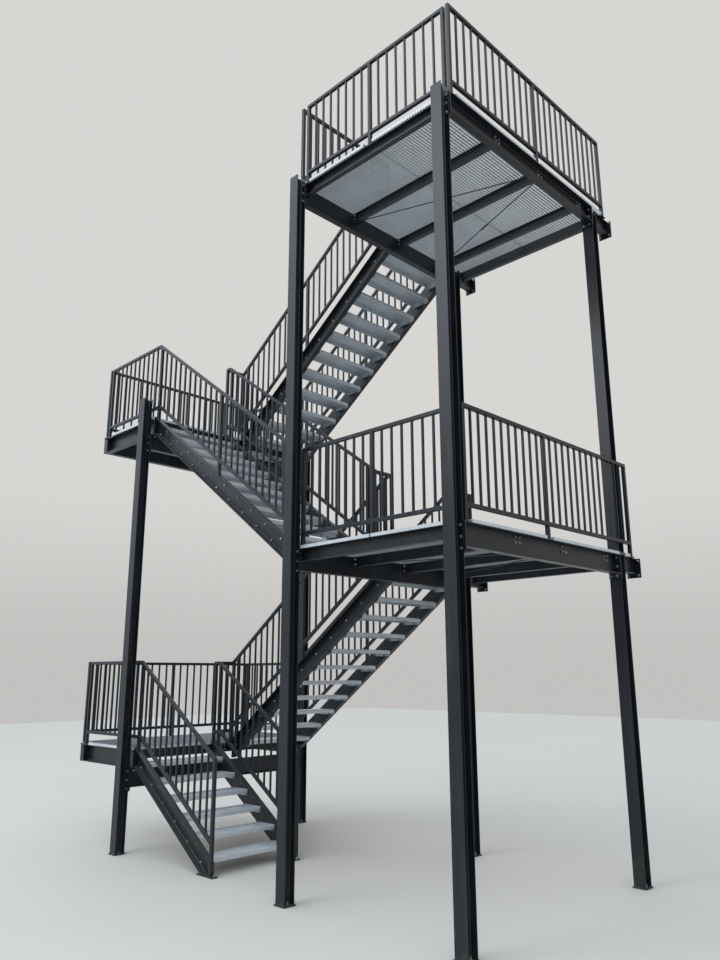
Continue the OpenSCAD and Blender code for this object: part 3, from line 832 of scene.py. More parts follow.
class Recipe(NodeTree):
    """A Geometry Nodes tree under construction."""

    def __init__(self, name: str) -> None:
        """Start an empty tree with one geometry input and one geometry output.

        Args:
            name: Name of the tree.
        """
        super().__init__(bpy.data.node_groups.new(name, "GeometryNodeTree"))
        self.keys: dict[str, str] = {}
        for way in ("INPUT", "OUTPUT"):
            self.tree.interface.new_socket("Geometry", in_out=way, socket_type="NodeSocketGeometry")
        self.entry = self.node("NodeGroupInput")

    def size(self, name: str, kind: str = "Float") -> Socket:
        """Add a named input.

        Args:
            name: Name of the input.
            kind: Type of its socket, without the leading NodeSocket.

        Returns:
            The input's socket inside the tree.
        """
        item = self.tree.interface.new_socket(name, in_out="INPUT", socket_type="NodeSocket" + kind)
        self.keys[name] = item.identifier
        return next(s for s in self.entry.outputs if s.identifier == item.identifier)

    def out(self, kind: str, inputs: dict[str | int, Any] | None = None, **settings: Any) -> Socket:
        """Make a node as node() does and give its first output that is in use."""
        return self.in_use(self.node(kind, inputs, **settings).outputs)

    def maths(self, operation: str, first: Any, second: Any) -> Socket:
        """One Math node inside the tree."""
        return self.out("ShaderNodeMath", {0: first, 1: second}, operation=operation)

    def named(self, name: str) -> Socket:
        """A vector attribute of the incoming points."""
        return self.out("GeometryNodeInputNamedAttribute", {"Name": name}, data_type="FLOAT_VECTOR")

    def rod(self, sides: int, radius: Socket, depth: Socket) -> Socket:
        """A closed upright prism with regular sides around the origin."""
        return self.out("GeometryNodeMeshCylinder",
                        {"Vertices": sides, "Radius": radius, "Depth": depth}, fill_type="NGON")

    def cone(self, sides: int, top: Any, bottom: Any, depth: Any) -> Socket:
        """A closed upright cone without its tip."""
        sizes = {"Vertices": sides, "Radius Top": top, "Radius Bottom": bottom, "Depth": depth}
        return self.out("GeometryNodeMeshCone", sizes, fill_type="NGON")

    def raised(self, shape: Socket, height: Socket) -> Socket:
        """A shape moved up along Z."""
        lift = self.out("ShaderNodeCombineXYZ", {"Z": height})
        return self.out("GeometryNodeTransform", {"Geometry": shape, "Translation": lift})

    def joined(self, *shapes: Socket) -> Socket:
        """Several shapes as one real shape."""
        whole = self.out("GeometryNodeJoinGeometry", {"Geometry": list(shapes)})
        return self.out("GeometryNodeRealizeInstances", {"Geometry": whole})

    def placed(self, shape: Socket, points: Socket | None = None, **inputs: Socket) -> Socket:
        """A shape on each of the points, or of those that come in, with further inputs by name."""
        on = {"Points": points or self.entry.outputs[0], "Instance": shape, **inputs}
        return self.out("GeometryNodeInstanceOnPoints", on)

    def close(self, shape: Socket) -> "Recipe":
        """End the tree in Realize Instances and Set Material.

        Args:
            shape: The finished geometry.

        Returns:
            This recipe.
        """
        finish = self.size("Finish", "Material")
        real = self.out("GeometryNodeRealizeInstances", {"Geometry": shape})
        dressed = self.out("GeometryNodeSetMaterial", {"Geometry": real, "Material": finish})
        self.node("NodeGroupOutput", {0: dressed})
        return self

    def cook(self, obj: bpy.types.Object, finish: Finish, **sizes: Any) -> bpy.types.Object:
        """Run the tree on an object and keep the plain mesh that it makes.

        Args:
            obj: Object whose mesh goes into the tree.
            finish: Finish of the result.
            sizes: Values of the tree's inputs, their names with _ for each blank.

        Returns:
            The object with its new mesh and no modifier.
        """
        step = obj.modifiers.new(self.tree.name, "NODES")
        step.node_group = self.tree
        step[self.keys["Finish"]] = finish.material()
        for name, given in sizes.items():
            step[self.keys[name.replace("_", " ")]] = given
        source = obj.data
        graph = bpy.context.evaluated_depsgraph_get()
        made = bpy.data.meshes.new_from_object(obj.evaluated_get(graph))
        obj.modifiers.remove(step)
        made.name = obj.name
        obj.data = made
        bpy.data.meshes.remove(source)
        return obj


def linked(name: str, data: Any) -> bpy.types.Object:
    """Put a mesh, lamp or camera in the scene as an object at the origin.

    Args:
        name: Name of the object.
        data: Its data.

    Returns:
        The object.
    """
    obj = bpy.data.objects.new(name, data)
    bpy.context.scene.collection.objects.link(obj)
    return obj


def plain_mesh(name: str, points: Iterable[Any], edges: Iterable[Any] = (),
               faces: Iterable[Any] = ()) -> bpy.types.Mesh:
    """Make a mesh.

    Args:
        name: Name of the mesh.
        points: Positions of its points.
        edges: Its loose edges, as pairs of point numbers.
        faces: Its faces, as rings of point numbers.

    Returns:
        The mesh.
    """
    mesh = bpy.data.meshes.new(name)
    mesh.from_pydata(list(points), list(edges), list(faces))
    return mesh


def cloud_of(name: str, places: Iterable[Point], **vectors: Iterable[Point]) -> bpy.types.Object:
    """Points with a vector attribute each.

    Args:
        name: Name of the object.
        places: Positions of the points.
        vectors: Attribute values by name, one for each point.

    Returns:
        The object with its loose points.
    """
    mesh = plain_mesh(name, places)
    for key, given in vectors.items():
        layer = mesh.attributes.new(key, "FLOAT_VECTOR", "POINT")
        layer.data.foreach_set("vector", [c for v in given for c in v])
    return linked(name, mesh)


def hand_over(obj: bpy.types.Object, slot: Slot, *replaced: str) -> bpy.types.Object:
    """Tie a finished piece to the frame and report it.

    Args:
        obj: The piece.
        slot: Material slot of the piece; not used.
        replaced: Names of the nodes that it stands for.

    Returns:
        The piece.
    """
    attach(obj, BODY)
    if replaced:
        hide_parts(*replaced)
    log.info("%s: %d faces", obj.name, len(obj.data.polygons))
    return obj


class Shape:
    """A mesh under construction from closed bars."""

    def __init__(self, *sources: bpy.types.Mesh) -> None:
        """Start the shape.

        Args:
            sources: Meshes that are copied into it.
        """
        self.bm = bmesh.new()
        for source in sources:
            self.bm.from_mesh(source)

    def loft(self, rings: Iterable[Iterable[Any]], split: bool = False) -> list[bmesh.types.BMFace]:
        """Walls between outlines of equally many points, with a cap on the first and the last.

        Args:
            rings: The outlines in their order.
            split: Whether the caps are cut into triangles.

        Returns:
            The walls, then the caps that are left whole.
        """
        rows = [[self.bm.verts.new(point) for point in ring] for ring in rings]
        made = []
        for low, high in zip(rows, rows[1:]):
            for i in range(len(low)):
                j = (i + 1) % len(low)
                made.append(self.bm.faces.new((low[i], low[j], high[j], high[i])))
        for row in (rows[0], rows[-1]):
            cap = self.bm.faces.new(row)
            if split:
                bmesh.ops.triangulate(self.bm, faces=[cap])
            else:
                made.append(cap)
        return made

    def prism(self, outline: Outline, y0: float, y1: float,
              split: bool = False) -> list[bmesh.types.BMFace]:
        """A closed bar along Y with its outline given as x and z, made as loft() says."""
        return self.loft([[(x, y, z) for x, z in outline] for y in (y0, y1)], split)

    def outward(self, faces: Any = None) -> None:
        """Turn the given faces outwards, or all of them."""
        bmesh.ops.recalc_face_normals(self.bm, faces=faces or self.bm.faces)

    def save(self, mesh: bpy.types.Mesh) -> None:
        """Write the shape into a mesh and close it."""
        self.bm.to_mesh(mesh)
        self.bm.free()

    def finished(self, name: str, finish: Finish | None = None) -> bpy.types.Object:
        """End the shape as an object in the scene.

        Args:
            name: Name of the object.
            finish: Its finish, if it isn't given later.

        Returns:
            The object.
        """
        mesh = bpy.data.meshes.new(name)
        self.save(mesh)
        if finish:
            mesh.materials.append(finish.material())
        return linked(name, mesh)


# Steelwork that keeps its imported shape

@dataclass
class Steelwork:
    """Columns, beams, stringers and railings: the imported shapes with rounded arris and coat."""
    weld: float = 0.0001
    sharp: float = math.radians(40)
    steps: int = 2
    rounding: dict[str, float] = field(default_factory=lambda: {
        "rail": 0.0028, "column": 0.0016, "beams": 0.0016, "stringers": 0.0016, "brackets": 0.0016})

    def dress(self) -> None:
        """Round the edges of every packed steel node and give it its coat."""
        for name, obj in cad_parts.items():
            kind = next((k for k in self.rounding if k in name), None)
            if kind is None:
                continue
            obj.data.materials.clear()
            obj.data.materials.append(Finish.COAT.material())
            self.round_off(obj, kind)
            log.info("%s: packed shape, rounded by %.1f mm", name, self.rounding[kind] * 1000)

    def round_off(self, obj: bpy.types.Object, kind: str) -> None:
        """Join the loose triangles and bevel the sharp edges, both as modifiers.

        Args:
            obj: The piece.
            kind: Kind of steel, one of the keys of rounding.
        """
        join = obj.modifiers.new("joined", "WELD")
        join.merge_threshold = self.weld
        edge = obj.modifiers.new("rounded", "BEVEL")
        edge.width = self.rounding[kind]
        edge.segments = self.steps
        edge.limit_method = "ANGLE"
        edge.angle_limit = self.sharp


# Frames of the half landings

@dataclass
class LandingFrames:
    """The frames of the half landings: each lies on a deep beam between its columns and ends in
    a shallow header that carries the flights."""
    steel: Steelwork
    flange: float = 0.0057
    cap: float = 0.008
    overlap: float = 0.0005
    merge: float = 0.00001

    def copied(self, node: str) -> Shape:
        """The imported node's shape with its loose triangles joined.

        Args:
            node: Name of the node.

        Returns:
            The shape for editing.
        """
        shape = Shape(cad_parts[node].data)
        bmesh.ops.remove_doubles(shape.bm, verts=shape.bm.verts, dist=self.merge)
        return shape

    def header(self, top: float) -> Outline:
        """Outline of the header, a rolled I section.

        Args:
            top: Its upper face.

        Returns:
            The outline as x and z.
        """
        s = SIZES
        web, side, foot = s.header_web / 2, s.header_b / 2, -s.header_h
        half = [(side, 0.0), (side, -self.flange), (web, -self.flange),
                (web, foot + self.flange), (side, foot + self.flange), (side, foot)]
        right = [(s.header_x + x, top + z) for x, z in half]
        left = [(s.header_x - x, top + z) for x, z in reversed(half)]
        return right + left

    def main_beams(self, node: str, level: float) -> None:
        """The deep beam, the outer channel and the header.

        Args:
            node: Node that they replace.
            level: Height of the floor.
        """
        s = SIZES
        top = level - s.grate_t
        shape = self.copied(node)
        for v in shape.bm.verts:
            if v.co.x > s.x_a - s.col_b:
                v.co.z -= s.main_h
        front, back = s.front_tip + s.main_b, s.back_tip - s.main_b
        left, low = s.land_r - self.cap, top - s.main_h + self.overlap
        plate = [(left, low), (s.land_r, low), (s.land_r, top), (left, top)]
        for outline, y0, y1 in ((self.header(top), front - self.overlap, back + self.overlap),
                                (plate, s.front_tip, front - 2 * self.overlap),
                                (plate, back + 2 * self.overlap, s.back_tip)):
            shape.outward(shape.prism(outline, y0, y1))
        self.hand_in(shape, node)

    def cross_beams(self, node: str) -> None:
        """The channels and the joist along X, carried on to the header.

        Args:
            node: Node that they replace.
        """
        s = SIZES
        shape = self.copied(node)
        at_web = s.header_x - s.header_web / 2 - s.x_a
        at_cap = s.land_r - self.cap + self.overlap - s.x_a
        for v in shape.bm.verts:
            if v.co.x > s.x_a - s.plate_t - self.overlap:
                v.co.x += at_web if abs(v.co.y - s.row / 2) < s.main_b else at_cap
        self.hand_in(shape, node)

    def hand_in(self, shape: Shape, node: str) -> None:
        """Round the edges of a finished shape and let it stand for its node.

        Args:
            shape: The finished shape.
            node: Node that it replaces.
        """
        obj = shape.finished(node + "_steel", Finish.COAT)
        self.steel.round_off(obj, "beams")
        hand_over(obj, Slot.BEAMS, node)

    def build(self) -> None:
        """Build the frames of both half landings."""
        for name, level in zip(("landing_low", "landing_high"), SIZES.landings):
            self.main_beams(name + "_main_beams", level)
            self.cross_beams(name + "_cross_beams")


# Gratings

@dataclass
class Pocket:
    """A cut-out in a grating round a post or a column."""
    x: float
    y: float
    half_x: float
    half_y: float
    open_front: float = 0.0
    open_back: float = 0.0

    @property
    def span_x(self) -> Span:
        """Range of the pocket along X."""
        return self.x - self.half_x, self.x + self.half_x

    @property
    def span_y(self) -> Span:
        """Range of the pocket along Y."""
        return self.y - self.half_y - self.open_front, self.y + self.half_y + self.open_back


@dataclass
class Grating:
    """A floor of pressed grating panels: strips round each panel, bearing bars along Y and
    cross bars along X, all cut at the pockets."""
    name: str
    top: float
    panels: list[Span]
    y_range: Span
    pockets: list[Pocket]
    depth: float = SIZES.grate_t
    bar: float = 0.003
    strip: float = 0.004
    pitch: float = SIZES.bar_pitch
    cross_pitch: float = 0.0999
    cross_depth: float = 0.010
    cross_bar: float = 0.002
    cross_drop: float = 0.0004
    least: float = 0.004

    @staticmethod
    def recipe() -> Recipe:
        """The tree that puts a bar of its own size on each point.

        Returns:
            The recipe.
        """
        r = Recipe("bars on points")
        bar = r.out("GeometryNodeMeshCube", {"Size": (1.0, 1.0, 1.0)})
        return r.close(r.placed(bar, Scale=r.named("extent")))

    def cut(self, start: float, end: float, gaps: Iterable[Span]) -> list[Span]:
        """What is left of a bar after its gaps are taken out.

        Args:
            start: Start of the bar.
            end: End of the bar.
            gaps: Ranges that are cut away.

        Returns:
            Ranges of the pieces that remain.
        """
        left, at = [], start
        for low, high in sorted(gaps):
            stop = min(low, end)
            if stop - at > self.least:
                left.append((at, stop))
            at = max(at, high)
        if end - at > self.least:
            left.append((at, end))
        return left

    def bars(self) -> list[Bar]:
        """All bars of the floor.

        Returns:
            Middle and size of each bar.
        """
        made: list[Bar] = []
        for panel in self.panels:
            made += self.lengthways(*panel)
            made += self.crossways(*panel)
        for pocket in self.pockets:
            made += self.trim(pocket)
        return made

    def along_y(self, x: float, low: float, high: float, thick: float) -> Bar:
        """Middle and size of one upright bar along Y."""
        return (x, (low + high) / 2, self.top - self.depth / 2), (thick, high - low, self.depth)

    def along_x(self, y: float, low: float, high: float, thick: float) -> Bar:
        """Middle and size of one upright bar along X."""
        return ((low + high) / 2, y, self.top - self.depth / 2), (high - low, thick, self.depth)

    def cross(self, y: float, low: float, high: float) -> Bar:
        """Middle and size of one cross bar."""
        z = self.top - self.cross_drop - self.cross_depth / 2
        return ((low + high) / 2, y, z), (high - low, self.cross_bar, self.cross_depth)

    def lengthways(self, x0: float, x1: float) -> list[Bar]:
        """The bearing bars and side strips of one panel.

        Args:
            x0: Left face of the panel.
            x1: Right face of the panel.

        Returns:
            Middle and size of each bar.
        """
        y0, y1 = self.y_range
        width = x1 - x0 - self.strip
        count = round(width / self.pitch)
        made = []
        for i in range(count + 1):
            x = x0 + self.strip / 2 + width * i / count
            gaps = [p.span_y for p in self.pockets if p.span_x[0] < x < p.span_x[1]]
            inset, thick = (0.0, self.strip) if i in (0, count) else (self.strip / 2, self.bar)
            made += [self.along_y(x, low, high, thick)
                     for low, high in self.cut(y0 + inset, y1 - inset, gaps)]
        return made

    def crossways(self, x0: float, x1: float) -> list[Bar]:
        """The cross bars and the front and back strips of one panel.

        Args:
            x0: Left face of the panel.
            x1: Right face of the panel.

        Returns:
            Middle and size of each bar.
        """
        y0, y1 = self.y_range
        width, half = y1 - y0 - self.strip, self.strip / 2
        count = round(width / self.cross_pitch)
        made = []
        for i in range(count + 1):
            y = y0 + half + width * i / count
            gaps = [p.span_x for p in self.pockets if p.span_y[0] < y < p.span_y[1]]
            for low, high in self.cut(x0 + half, x1 - half, gaps):
                made.append(self.along_x(y, low, high, self.strip) if i in (0, count)
                            else self.cross(y, low, high))
        return made

    def trim(self, pocket: Pocket) -> list[Bar]:
        """Strips round a pocket, where it lies inside a panel.

        Args:
            pocket: The cut-out.

        Returns:
            Middle and size of each strip.
        """
        made = []
        half = self.bar / 2
        y0, y1 = self.y_range
        front, back = max(pocket.span_y[0], y0), min(pocket.span_y[1], y1)
        for x0, x1 in self.panels:
            low, high = max(pocket.span_x[0], x0), min(pocket.span_x[1], x1)
            if high <= low:
                continue
            for y, sign in zip(pocket.span_y, (-1, 1)):
                if y0 < y < y1:
                    made.append(self.along_x(y + sign * half, low, high, self.bar))
            for x, sign in zip(pocket.span_x, (-1, 1)):
                if x0 < x < x1:
                    made.append(self.along_y(x + sign * half, front, back, self.bar))
        return made

    def build(self, recipe: Recipe) -> bpy.types.Object:
        """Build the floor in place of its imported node.

        Args:
            recipe: The tree from recipe().

        Returns:
            The piece.
        """
        places, extents = zip(*self.bars())
        obj = cloud_of(self.name + "_bars", places, extent=extents)
        recipe.cook(obj, Finish.GRATING_ZINC)
        return hand_over(obj, Slot.GRATINGS, self.name)


@dataclass
class Floors:
    """The four gratings of the stair."""
    front_over: float = 0.018
    seam: float = 0.014
    gap: float = 0.006
    corner_reach: float = 0.135

    def pocket(self, shoe: Shoe, open_front: float = 0.0) -> Pocket:
        """A pocket round the foot plate of a post.

        Args:
            shoe: The foot plate.
            open_front: How far the pocket is opened to the front.

        Returns:
            The pocket.
        """
        long, short = SIZES.shoe_l / 2 + self.gap, SIZES.shoe_b / 2 + self.gap
        if shoe.along_x:
            return Pocket(shoe.x, shoe.y, long, short, open_front)
        return Pocket(shoe.x, shoe.y, short, long)

    def door(self, name: str, top: float, side_post: float, passes: bool, open_front: float) -> Grating:
        """The floor of a door platform.

        Args:
            name: Node that it replaces.
            top: Height of the floor.
            side_post: Middle post of the side railing.
            passes: Whether the back columns pass through it.
            open_front: How far the front pockets are opened.

        Returns:
            The grating.
        """
        s = SIZES
        pockets = [self.pocket(shoe, open_front) for shoe in s.door_shoes(side_post)]
        if passes:
            pockets += [Pocket(x, s.row, s.col_b / 2 + self.gap, s.col_h / 2 + self.gap)
                        for x in (0.0, s.x_b)]
        middle = s.x_b / 2
        panels = [(s.door_l + s.grate_in, middle - self.seam / 2),
                  (middle + self.seam / 2, s.door_r - s.grate_in)]
        return Grating(name, top, panels, (s.front_tip - self.front_over, s.door_back), pockets)

    def landing(self, name: str, top: float) -> Grating:
        """The floor of a half landing.

        Args:
            name: Node that it replaces.
            top: Height of the floor.

        Returns:
            The grating.
        """
        s = SIZES
        *posts, front, back = s.landing_shoes()
        start = front.x - s.shoe_l / 2 - self.gap
        half = (s.land_web_l + self.corner_reach - start) / 2
        half_y = s.shoe_b / 2 + self.gap
        pockets = [self.pocket(shoe) for shoe in posts]
        pockets.append(Pocket(start + half, front.y, half, half_y, open_front=s.shoe_b))
        pockets.append(Pocket(start + half, back.y, half, half_y, open_back=s.shoe_b))
        panel = (s.land_l + s.grate_in, s.land_r - s.grate_in)
        reach = (s.front_tip - self.front_over, s.back_tip + self.front_over)
        return Grating(name, top, [panel], reach, pockets)

    def build(self) -> None:
        """Build all four gratings."""
        s = SIZES
        recipe = Grating.recipe()
        low, high = s.side_posts
        self.door("door_low_grating", s.low_door, low, True, 0.0).build(recipe)
        self.door("door_high_grating", s.high_door, high, False, s.shoe_b).build(recipe)
        self.landing("landing_low_grating", s.low_landing).build(recipe)
        self.landing("landing_high_grating", s.high_landing).build(recipe)


# Treads

@dataclass
class Tread:
    """A folded galvanised tread with rounded edges, turned lips, end plates and rows of raised
    grip studs."""
    depth: float
    length: float = SIZES.tread_len
    lip: float = 0.045
    turn: float = 0.012
    sheet: float = SIZES.tread_t
    radius: float = 0.006
    bend_faces: int = 4
    plate_drop: float = 0.070
    plate_corner: float = 0.012
    stud: Point = (0.0055, 0.016, 0.0016)
    stud_sides: int = 8
    stud_top: float = 0.62
    stud_lift: float = 0.45
    stud_pitch: Span = (0.032, 0.060)
    margin: Span = (0.026, 0.045)

    def arc(self, cx: float, cz: float, radius: float, start: float, end: float) -> Outline:
        """Points on an arc of the profile.

        Args:
            cx: Middle along the depth.
            cz: Middle in height.
            radius: Radius of the arc.
            start: First angle in degrees.
            end: Last angle in degrees.

        Returns:
            The points.
        """
        turns = [math.radians(start + (end - start) * i / self.bend_faces)
                 for i in range(self.bend_faces + 1)]
        return [(cx + radius * math.cos(a), cz + radius * math.sin(a)) for a in turns]

    def profile(self) -> Outline:
        """Closed outline of the folded sheet, seen from its end.

        Returns:
            The outer face, then the inner one back again, as x and z.
        """
        r, t, d = self.radius, self.sheet, self.depth
        low = -self.lip
        outer = [(self.turn, low), *self.arc(r, low + r, r, 270, 180), *self.arc(r, -r, r, 180, 90),
                 *self.arc(d - r, -r, r, 90, 0), *self.arc(d - r, low + r, r, 0, -90),
                 (d - self.turn, low)]
        inner = [(d - self.turn, low + t), *self.arc(d - r, low + r, r - t, -90, 0),
                 *self.arc(d - r, -r, r - t, 0, 90), *self.arc(r, -r, r - t, 90, 180),
                 *self.arc(r, low + r, r - t, 180, 270), (self.turn, low + t)]
        return outer + inner

    def plate(self) -> Outline:
        """Outline of an end plate with its lower corners rounded.

        Returns:
            The outline as x and z.
        """
        c, low = self.plate_corner, -self.plate_drop
        x0, x1 = 2 * self.sheet, self.depth - 2 * self.sheet
        return [(x0, -self.sheet), *self.arc(x0 + c, low + c, c, 180, 270),
                *self.arc(x1 - c, low + c, c, 270, 360), (x1, -self.sheet)]

    def pattern(self) -> bpy.types.Object:
        """One tread with its nosing on X = 0 and its top on Z = 0, climbing towards +X.

        Returns:
            The pattern, which is removed once its flight is built.
        """
        shape = Shape()
        half = self.length / 2
        for outline, y0, y1 in ((self.profile(), -half, half),
                                (self.plate(), -half, self.sheet - half),
                                (self.plate(), half - self.sheet, half)):
            shape.prism(outline, y0, y1, split=True)
        shape.outward()
        return shape.finished("tread_pattern")

    def recipe(self) -> Recipe:
        """The tree that sets a tread pattern with its grip studs on each nosing.

        Returns:
            The recipe.
        """
        r = Recipe("treads on nosings")
        pattern = r.size("Pattern", "Object")
        depth, length = r.size("Depth"), r.size("Length")
        rows, columns = r.size("Rows", "Int"), r.size("Columns", "Int")
        stud, middle = r.size("Stud", "Vector"), r.size("Middle", "Vector")
        tread = r.node("GeometryNodeObjectInfo", {"Object": pattern}, transform_space="ORIGINAL")
        grid = r.out("GeometryNodeMeshGrid", {"Size X": depth, "Size Y": length,
                                              "Vertices X": rows, "Vertices Y": columns})
        studs = r.placed(r.cone(self.stud_sides, self.stud_top, 1.0, 1.0), grid, Scale=stud)
        studs = r.out("GeometryNodeTransform", {"Geometry": studs, "Translation": middle})
        turn = r.out("FunctionNodeEulerToRotation", {"Euler": r.named("turn")})
        return r.close(r.placed(r.joined(tread.outputs["Geometry"], studs), Rotation=turn))

    def cook(self, name: str, nosings: list[Point], way: int) -> bpy.types.Object:
        """Put treads of this depth on nosings.

        Args:
            name: Name of the piece.
            nosings: Middle of each nosing.
            way: 1 for a flight that climbs towards +X, -1 towards -X.

        Returns:
            The treads.
        """
        pattern = self.pattern()
        inset, side = self.margin
        depth, length = self.depth - 2 * inset, self.length - 2 * side
        turn = (0.0, 0.0, 0.0 if way > 0 else math.pi)
        obj = cloud_of(name, nosings, turn=[turn] * len(nosings))
        self.recipe().cook(obj, Finish.SHEET_ZINC, Pattern=pattern, Depth=depth, Length=length,
                           Rows=int(depth / self.stud_pitch[0]) + 1,
                           Columns=int(length / self.stud_pitch[1]) + 1, Stud=self.stud,
                           Middle=(self.depth / 2, 0.0, -self.stud[2] * self.stud_lift))
        bpy.data.objects.remove(pattern)
        return obj


@dataclass
class Stairway:
    """The treads of the four flights."""
    full: float = 0.270
    cut_back: float = 0.247

    def build(self) -> None:
        """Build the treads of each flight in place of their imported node."""
        for flight in FLIGHTS:
            middle = sum(flight.webs) / 2
            nosings = [(x, middle, z) for x, z in flight.nosings]
            name = f"flight_{flight.number}_treads"
            top = Tread(self.cut_back).cook(name + "_top", nosings[:1], flight.way)
            rest = Tread(self.full).cook(name + "_folded", nosings[1:], flight.way)
            Shape(rest.data, top.data).save(rest.data)
            bpy.data.objects.remove(top)
            hand_over(rest, Slot.TREADS, name)


# Fasteners

@dataclass(frozen=True)
class Thread:
    """Sizes of a hexagon bolt or nut with its washer."""
    across: float
    head: float
    washer: float
    washer_t: float
    tail: float
    tail_r: float


class Bolt(Enum):
    """The fasteners of the stair."""
    SHOE = Thread(0.0075, 0.0055, 0.0105, 0.0018, 0.0075, 0.0040)
    TREAD = Thread(0.0095, 0.0075, 0.0130, 0.0025, 0.0, 0.0)
    TREAD_NUT = Thread(0.0095, 0.0100, 0.0120, 0.0025, 0.0150, 0.0060)
    FRAME = Thread(0.0110, 0.0090, 0.0150, 0.0030, 0.0, 0.0)
    FRAME_NUT = Thread(0.0110, 0.0130, 0.0150, 0.0030, 0.0190, 0.0080)
    ANCHOR = Thread(0.0105, 0.0100, 0.0140, 0.0030, 0.0260, 0.0060)


@dataclass
class Fasteners:
    """Hexagon bolts and nuts, one piece for each kind, set on points with a direction. A crown
    is given as shares of the width at its top and bottom and of the head's height, and the least
    tail as shares of the head's height and width."""
    seed: int = 11
    hexagon: int = 6
    thread_sides: int = 8
    round_sides: int = 12
    crown: Point = (0.72, 0.90, 0.14)
    least_tail: Span = (0.5, 0.4)
    places: dict[Bolt, list[tuple[Point, Point]]] = field(default_factory=dict)

    def add(self, kind: Bolt, place: Point, way: Point) -> None:
        """Note one fastener: where its washer sits on the steel and which way its head stands."""
        self.places.setdefault(kind, []).append((place, way))

    def recipe(self) -> Recipe:
        """The tree that builds one fastener and sets it on each point.

        Returns:
            The recipe.
        """
        r = Recipe("fasteners on points")
        across, head = r.size("Across"), r.size("Head")
        washer, thick = r.size("Washer"), r.size("Washer thickness")
        tail, tail_r = r.size("Tail"), r.size("Tail radius")
        seed = r.size("Seed", "Int")
        top, bottom, height = self.crown
        crown = r.cone(self.round_sides, r.maths("MULTIPLY", across, top),
                       r.maths("MULTIPLY", across, bottom), r.maths("MULTIPLY", head, height))
        head_mid = r.maths("ADD", thick, r.maths("DIVIDE", head, 2.0))
        tail_mid = r.maths("ADD", thick, r.maths("DIVIDE", tail, 2.0))
        bolt = r.joined(
            r.raised(r.rod(self.round_sides, washer, thick), r.maths("DIVIDE", thick, 2.0)),
            r.raised(r.rod(self.hexagon, across, head), head_mid),
            r.raised(crown, r.maths("ADD", thick, head)),
            r.raised(r.rod(self.thread_sides, tail_r, tail), tail_mid))
        turn = r.out("FunctionNodeRandomValue", {"Min": 0.0, "Max": TURN, "Seed": seed},
                     data_type="FLOAT")
        spin = r.out("FunctionNodeEulerToRotation",
                     {"Euler": r.out("ShaderNodeCombineXYZ", {"Z": turn})})
        aim = r.out("FunctionNodeAlignRotationToVector", {"Rotation": spin, "Vector": r.named("way")},
                    axis="Z")
        return r.close(r.placed(bolt, Rotation=aim))

    def build(self) -> None:
        """Build one piece for each kind of fastener."""
        recipe = self.recipe()
        for kind, found in self.places.items():
            size = kind.value
            places, ways = zip(*found)
            obj = cloud_of(f"bolts_{kind.name.lower()}", places, way=ways)
            recipe.cook(obj, Finish.BOLT_ZINC, Across=size.across, Head=size.head,
                        Washer=size.washer, Washer_thickness=size.washer_t, Seed=self.seed,
                        Tail=max(size.tail, size.head * self.least_tail[0]),
                        Tail_radius=max(size.tail_r, size.across * self.least_tail[1]))
            hand_over(obj, Slot.TREADS if "TREAD" in kind.name else Slot.BEAMS)


